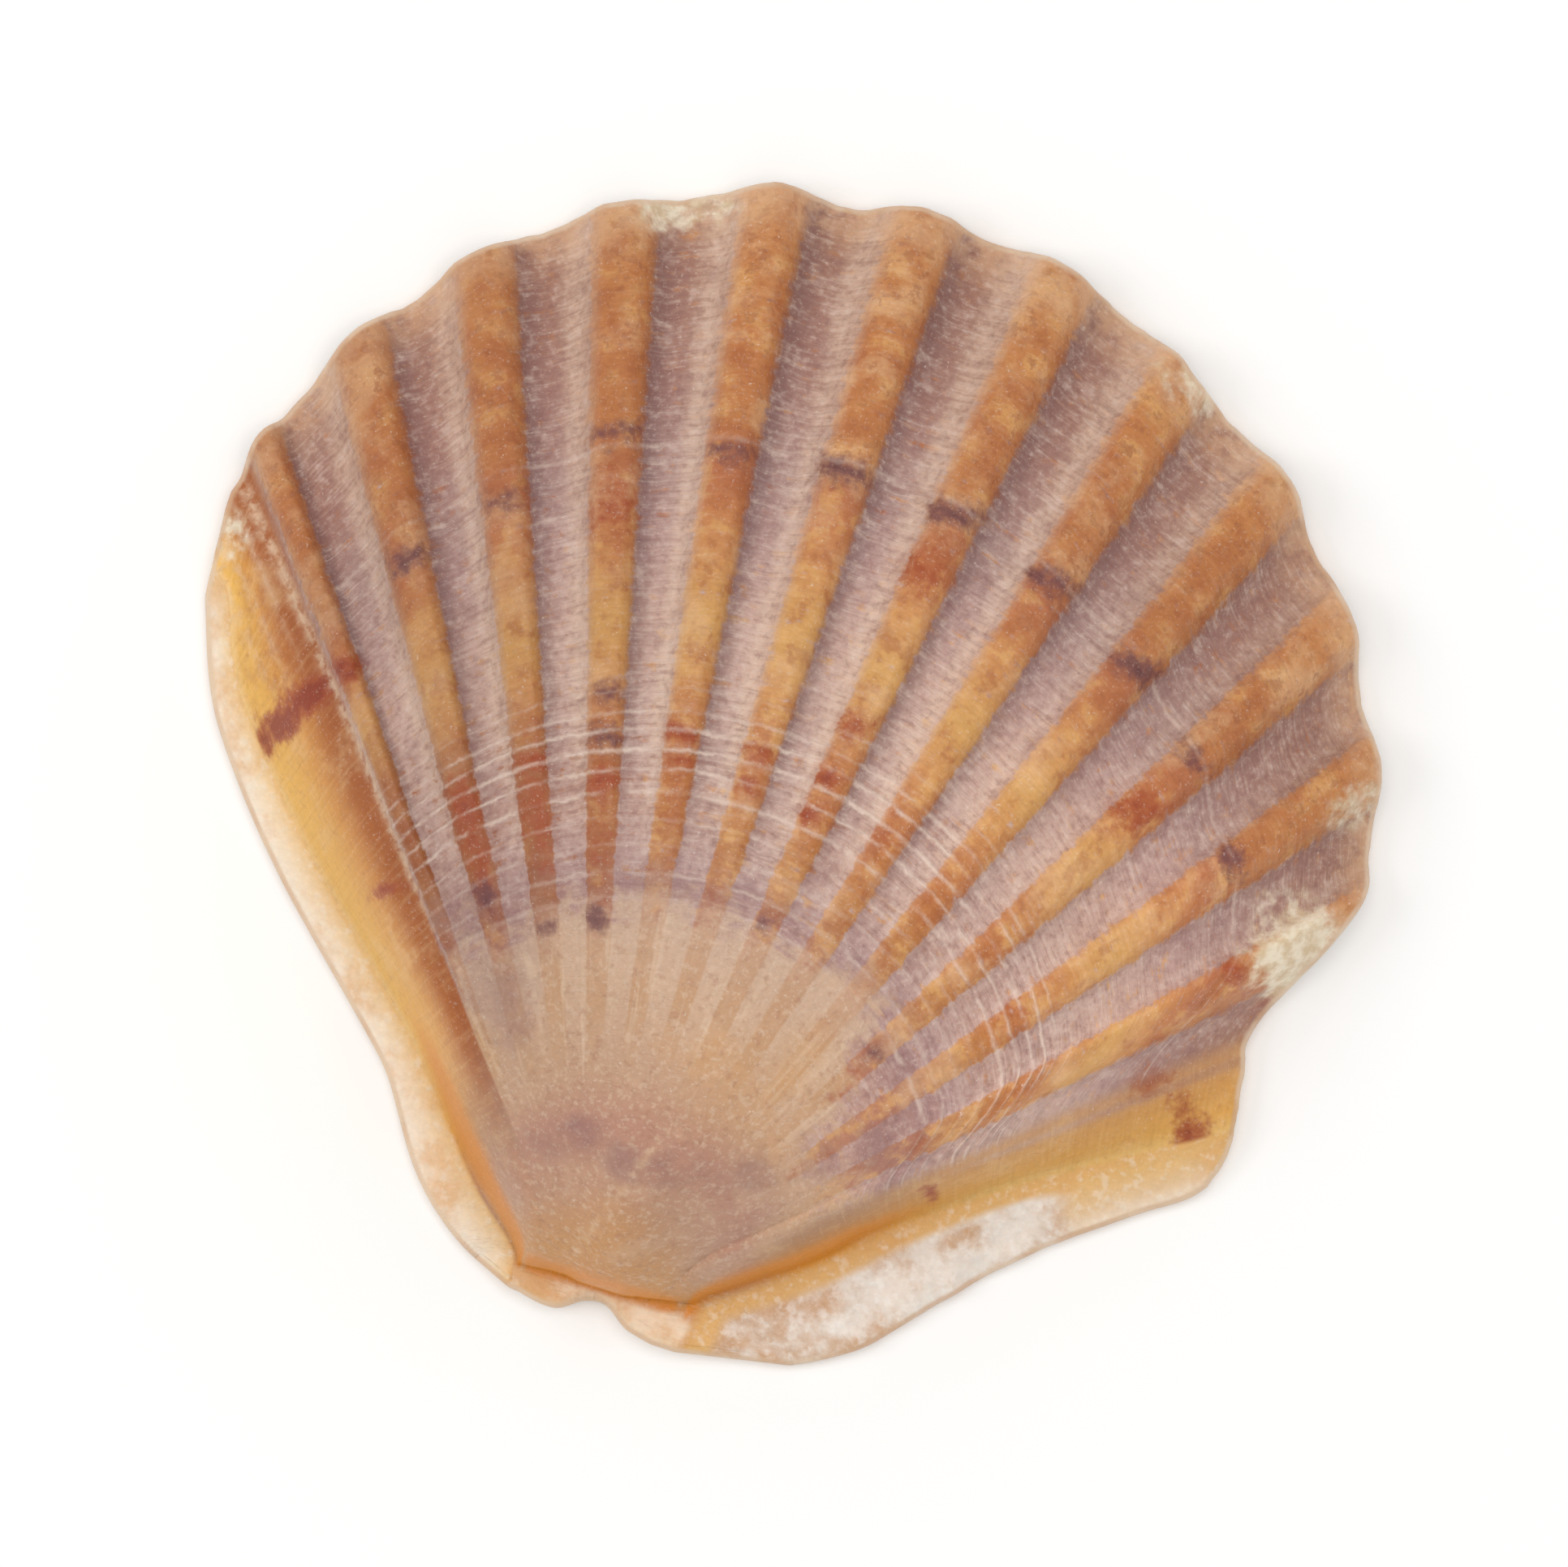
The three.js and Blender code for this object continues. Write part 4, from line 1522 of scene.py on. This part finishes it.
    def paint_fan(self, painting: Painting) -> Value:
        """Ribs and grooves, from beak to margin. The threads crowd between the two rings.

        Args:
            painting: the nodes and fields to work with.

        Returns:
            The fan's colour.
        """
        fields, add = painting.fields, painting.add
        crowding = painting.meet(("wander", 17.5, 20.0), ("wander", 27.0, 24.0))
        crowd = add(Kind.TIMES_PLUS, crowding, 0.25, 1.0)
        # The painted highlight on the ribs' left sides is broken up along the growth rows.
        fields["lit_rows"] = add(Kind.TIMES_PLUS, "rows", 0.8, 0.2)
        pale, dark = (add(Kind.TIMES_PLUS, "groove", *share) for share in ((0.18, 0.10), (0.16, 0.12)))
        fields["pale_share"] = painting.meet(crowd, pale, ("cells", 0.30, 0.60))
        fields["dark_share"] = painting.meet(crowd, dark)
        ribs, grooves = self.ribs.over(painting, "wander"), self.grooves.over(painting, "wander")
        return painting.lay(grooves, (ribs, "on_rib"), *self.fan_coats)

    def paint_umbo(self, painting: Painting, colour: Value) -> Value:
        """Peach lip by the margin, bared umbo, the dusky left of the fan and the mauve bands.

        Args:
            painting: the nodes and fields to work with.
            colour: what is painted so far.

        Returns:
            The colour with these coats on it.
        """
        add, lay, meet = painting.add, painting.lay, painting.meet
        stripes = add(Kind.TIMES_PLUS, add(Kind.MINUS, "streak", 0.5), 2.0, "pigment")
        ribs, grooves = self.bare_ribs.over(painting, "wander"), self.bare_grooves.over(painting, "wander")
        bare = lay(grooves, (ribs, (stripes, 0.0, 1.0), ("wander", 8.5, 13.0), 0.85), *self.bare_coats)
        colour = lay(colour, ("dcae86", "lip", ("blots", 0.25, 0.60), 0.60), (bare, "bared"))
        patchy = add(Kind.TIMES_PLUS, "on_rib", 0.8, "patch")
        colour = lay(colour, ("8e4c2c", "dusk", (patchy, 0.2, 1.2), 0.62))
        haze = meet(add(Kind.MINUS, "patch", 0.5), 2.2, ("mauve", 0.0, 0.3))
        return lay(colour, ("8a5f62", (add(Kind.PLUS, haze, "mauve"), 0.05, 0.95), 0.52))

    def paint_flanks(self, painting: Painting, colour: Value) -> Value:
        """Amber flanks, which are browner by the beak.

        Args:
            painting: the nodes and fields to work with.
            colour: what is painted so far.

        Returns:
            The colour with these coats on it.
        """
        right, left, near = (
            ramp.over(painting, "flank") for ramp in (self.right_flank, self.left_flank, self.near_flank)
        )
        flank = painting.lay(right, (left, "left"), (near, "near"), *self.flank_coats)
        return painting.lay(colour, (flank, "amber"))

    def paint_stains(self, painting: Painting, colour: Value) -> Value:
        """Rust and plum stains with ragged edges, held better by the ribs and flanks.

        Args:
            painting: the nodes and fields to work with.
            colour: what is painted so far.

        Returns:
            The colour with these coats on it.
        """
        add, roughen = painting.add, painting.roughen
        ragged = roughen(painting.meet(add(Kind.MINUS, "patch", 0.5), 0.9), "speck", 1.5)
        held = add(Kind.TIMES_PLUS, add(Kind.LARGER, "on_rib", "amber"), 0.70, 0.30)
        for key, code, core in self.stains:
            push = painting.meet(ragged, (key, 0.0, 0.25))
            stain = add(Kind.TIMES_PLUS, push, 0.75, key)
            soft, hard = (code, (stain, 0.05, 0.80), held, 0.88), (core, (stain, 0.65, 1.2), held, 0.70)
            colour = painting.lay(colour, soft, hard)
        return colour

    def paint_edges(self, painting: Painting, colour: Value) -> Value:
        """Riblets, the scratch, the hinge strip, the orange seam, both ledges and their pearl.

        Args:
            painting: the nodes and fields to work with.
            colour: what is painted so far.

        Returns:
            The colour with these coats on it.
        """
        add, lay = painting.add, painting.lay
        strip = lay(linear("f1d8ba"), ("dfae78", ("patch", 0.4, 0.6)))
        colour = lay(
            colour,
            ("ecd0b0", "riblets", ("frays", 0.30, 0.65), 0.68),
            ("e0bd98", "scratch", ("scuffs", 0.30, 0.70), 0.45),
            (strip, "strip"),
            ("dc8618", (painting.roughen("border", "patch", 0.5), 0.05, 0.95), 0.88),
        )
        right, left = self.right_ledge.over(painting, "ledge"), self.left_ledge.over(painting, "ledge")
        ledge = lay(
            right,
            (left, "left"),
            ("dfa866", ("patch", 0.44, 0.66), 0.6),
            ("f7ead8", ("speck", 0.5, 0.7), 0.35),
        )
        bits = add(Kind.TIMES_PLUS, "hinge", -0.17, "bits")
        flakes = ("ebe0d4", (bits, 0.22, 0.62)), ("faf4ec", ("speck", 0.45, 0.70), 0.45)
        pearl = lay(linear("cda27a"), *flakes)
        return lay(colour, (ledge, ("ledge", 0.0, 0.14)), (pearl, ("pearl", 0.1, 0.7)))

    def paint_lines(self, painting: Painting, colour: Value) -> Value:
        """Raised pale growth lines, cream chips and tiny white flecks.

        Args:
            painting: the nodes and fields to work with.
            colour: what is painted so far.

        Returns:
            The colour with these coats on it.
        """
        add, lay, meet = painting.add, painting.lay, painting.meet
        lines: Value = 0.0
        narrow = painting.roughen("steady", "speck", 0.25)
        for at, half_width, strength in self.raised:
            away = add(Kind.POSITIVE, add(Kind.MINUS, narrow, at))
            lines = add(Kind.PLUS, lines, meet((away, 1.25 * half_width, 0.0), strength))
        open_part = meet(add(Kind.MINUS, 1.0, "bared"), ("amber", 0.9, 0.3))
        painting.fields["lines"] = meet(lines, open_part, ("gaps", 0.30, 0.62))
        broken = painting.roughen(add(Kind.MINUS, "patch", 0.5), "crumbs", 2.0)
        chipped = add(Kind.PLUS, "cream", meet(broken, ("cream", 0.0, 0.3)))
        chip = lay(linear("d6bf9c"), ("f0e4cc", ("chalk", 0.36, 0.62)))
        return lay(
            colour,
            ("e8d0bf", "lines", add(Kind.TIMES_PLUS, "groove", 0.3, 0.6)),
            (chip, (chipped, 0.05, 0.80), 0.9),
            ("f2e6da", ("grit", 0.70, 0.82), 0.35),
            ("ecd9c8", ("dust", 0.60, 0.76), 0.20),
        )

    def paint_tone(self, painting: Painting, colour: Value) -> Value:
        """Slow and fine changes of tone, and a trend from the left of the fan to the right."""
        tone = painting.add(Kind.PLUS, painting.add(Kind.TIMES_PLUS, "cloud", 0.16, 0.80), "trend")
        tone = painting.add(Kind.TIMES_PLUS, "tones", 0.24, tone)
        return painting.add(Kind.SHADE, 1.0, colour, painting.add(Kind.GREY, tone, tone, tone))

    def paint_inside(self, painting: Painting, colour: Value) -> Value:
        """Peachy cut of the wall on the rim, and a pale porcelain skin with a rosy cast inside."""
        cut = painting.lay(linear("d6ab84"), ("e8cdb0", ("patch", 0.35, 0.62)))
        skin = painting.lay(linear("efe6dc"), ("e3cfc0", ("cloud", 0.35, 0.7)))
        return painting.lay(colour, (cut, ("sheet", 0.1, 0.5), 0.7), (skin, "inside"))

    def sheen(self, painting: Painting) -> Socket:
        """Roughness: uneven where the sand worked, and smoother inside."""
        lowest = self.roughness - self.roughness_spread / 2
        rough = painting.add(Kind.TIMES_PLUS, "patch", self.roughness_spread, lowest)
        return painting.add(Kind.TIMES_PLUS, "inside", self.inside_roughness - self.roughness, rough)

    def relief(self, painting: Painting) -> Socket:
        """Finest relief in mm, on the outside only: threads, specks, grit and raised lines.

        Args:
            painting: the nodes and fields to work with.

        Returns:
            Bumped normals.
        """
        add = painting.add
        height = painting.meet("pale_thread", add(Kind.TIMES_PLUS, "groove", 0.012, 0.005))
        for key, depth in (("speck", 0.04), ("grit", 0.012), ("lines", 0.05)):
            height = add(Kind.TIMES_PLUS, key, depth, height)
        height = painting.meet(height, add(Kind.MINUS, 1.0, "inside"))
        return add(Kind.BUMP, 1.0, MM, height)


# ---------------------------------------------------------------------------------------------
# Studio
# ---------------------------------------------------------------------------------------------


@dataclass(frozen=True)
class Softbox:
    """A square area light that looks at the valve."""

    name: str
    place: tuple[float, float, float]
    size: float
    power: float

    def build(self) -> None:
        """Add the light, turned so that its face looks at the origin."""
        light = bpy.data.lights.new(self.name, "AREA")
        light.energy, light.size = self.power, self.size
        lamp = bpy.data.objects.new(self.name, light)
        lamp.location = self.place
        lamp.rotation_euler = Vector(self.place).to_track_quat("Z", "Y").to_euler()
        bpy.context.scene.collection.objects.link(lamp)


@dataclass(frozen=True)
class Studio:
    """Pale floor, soft light from the left, and a camera that looks straight down."""

    floor_colour: str = "fbfbfa"
    floor_size: float = 4.0
    floor_glow: float = 0.06
    sky: float = 0.54
    camera_height: float = 0.60
    frame_width: float = 0.0623
    lens: float = 100.0
    turn: float = 17.0
    centre: tuple[float, float] = (0.0005, -0.0003)
    boxes: tuple[Softbox, ...] = (
        Softbox("left_softbox", (-0.56, -0.10, 0.58), 0.40, 1.25),
        Softbox("top_softbox", (0.05, 0.12, 0.80), 0.60, 2.55),
    )

    def build(self) -> None:
        """Lay the floor, hang the lights and set the camera."""
        half = self.floor_size / 2
        mesh = bpy.data.meshes.new("floor")
        corners = [(-half, -half, 0), (half, -half, 0), (half, half, 0), (-half, half, 0)]
        mesh.from_pydata(corners, [], [(0, 1, 2, 3)])
        floor = bpy.data.objects.new("floor", mesh)
        bpy.context.scene.collection.objects.link(floor)
        paint = bpy.data.materials.new("matt_white_board")
        paint.use_nodes = True
        shader = paint.node_tree.nodes["Principled BSDF"]
        shader.inputs["Base Color"].default_value = linear(self.floor_colour)
        shader.inputs["Roughness"].default_value = 0.9
        shader.inputs["Emission Color"].default_value = (1.0, 1.0, 1.0, 1.0)
        shader.inputs["Emission Strength"].default_value = self.floor_glow
        mesh.materials.append(paint)
        for box in self.boxes:
            box.build()
        world = bpy.data.worlds.new("soft_white_room")
        world.use_nodes = True
        world.node_tree.nodes["Background"].inputs["Color"].default_value = (1.0, 1.0, 1.0, 1.0)
        world.node_tree.nodes["Background"].inputs["Strength"].default_value = self.sky
        bpy.context.scene.world = world
        self.camera()

    def camera(self) -> None:
        """Look straight down, turned so that the valve leans to the right in the picture."""
        data = bpy.data.cameras.new("camera")
        data.lens = self.lens
        data.sensor_width = self.lens * self.frame_width / self.camera_height
        camera = bpy.data.objects.new("camera", data)
        camera.location = (*self.centre, self.camera_height)
        camera.rotation_euler = (0.0, 0.0, math.radians(self.turn))
        bpy.context.scene.collection.objects.link(camera)
        bpy.context.scene.camera = camera


def main() -> None:
    """Build the valve and the studio."""
    logging.basicConfig(level=logging.INFO, format="%(name)s: %(message)s")
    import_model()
    valve = ScallopValve().build()
    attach(valve, "root")
    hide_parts(NODE)
    LOG.info("valve: %d faces", len(valve.data.polygons))
    Studio().build()
    bpy.context.scene.view_settings.view_transform = "Standard"


if __name__ == "__main__":
    main()
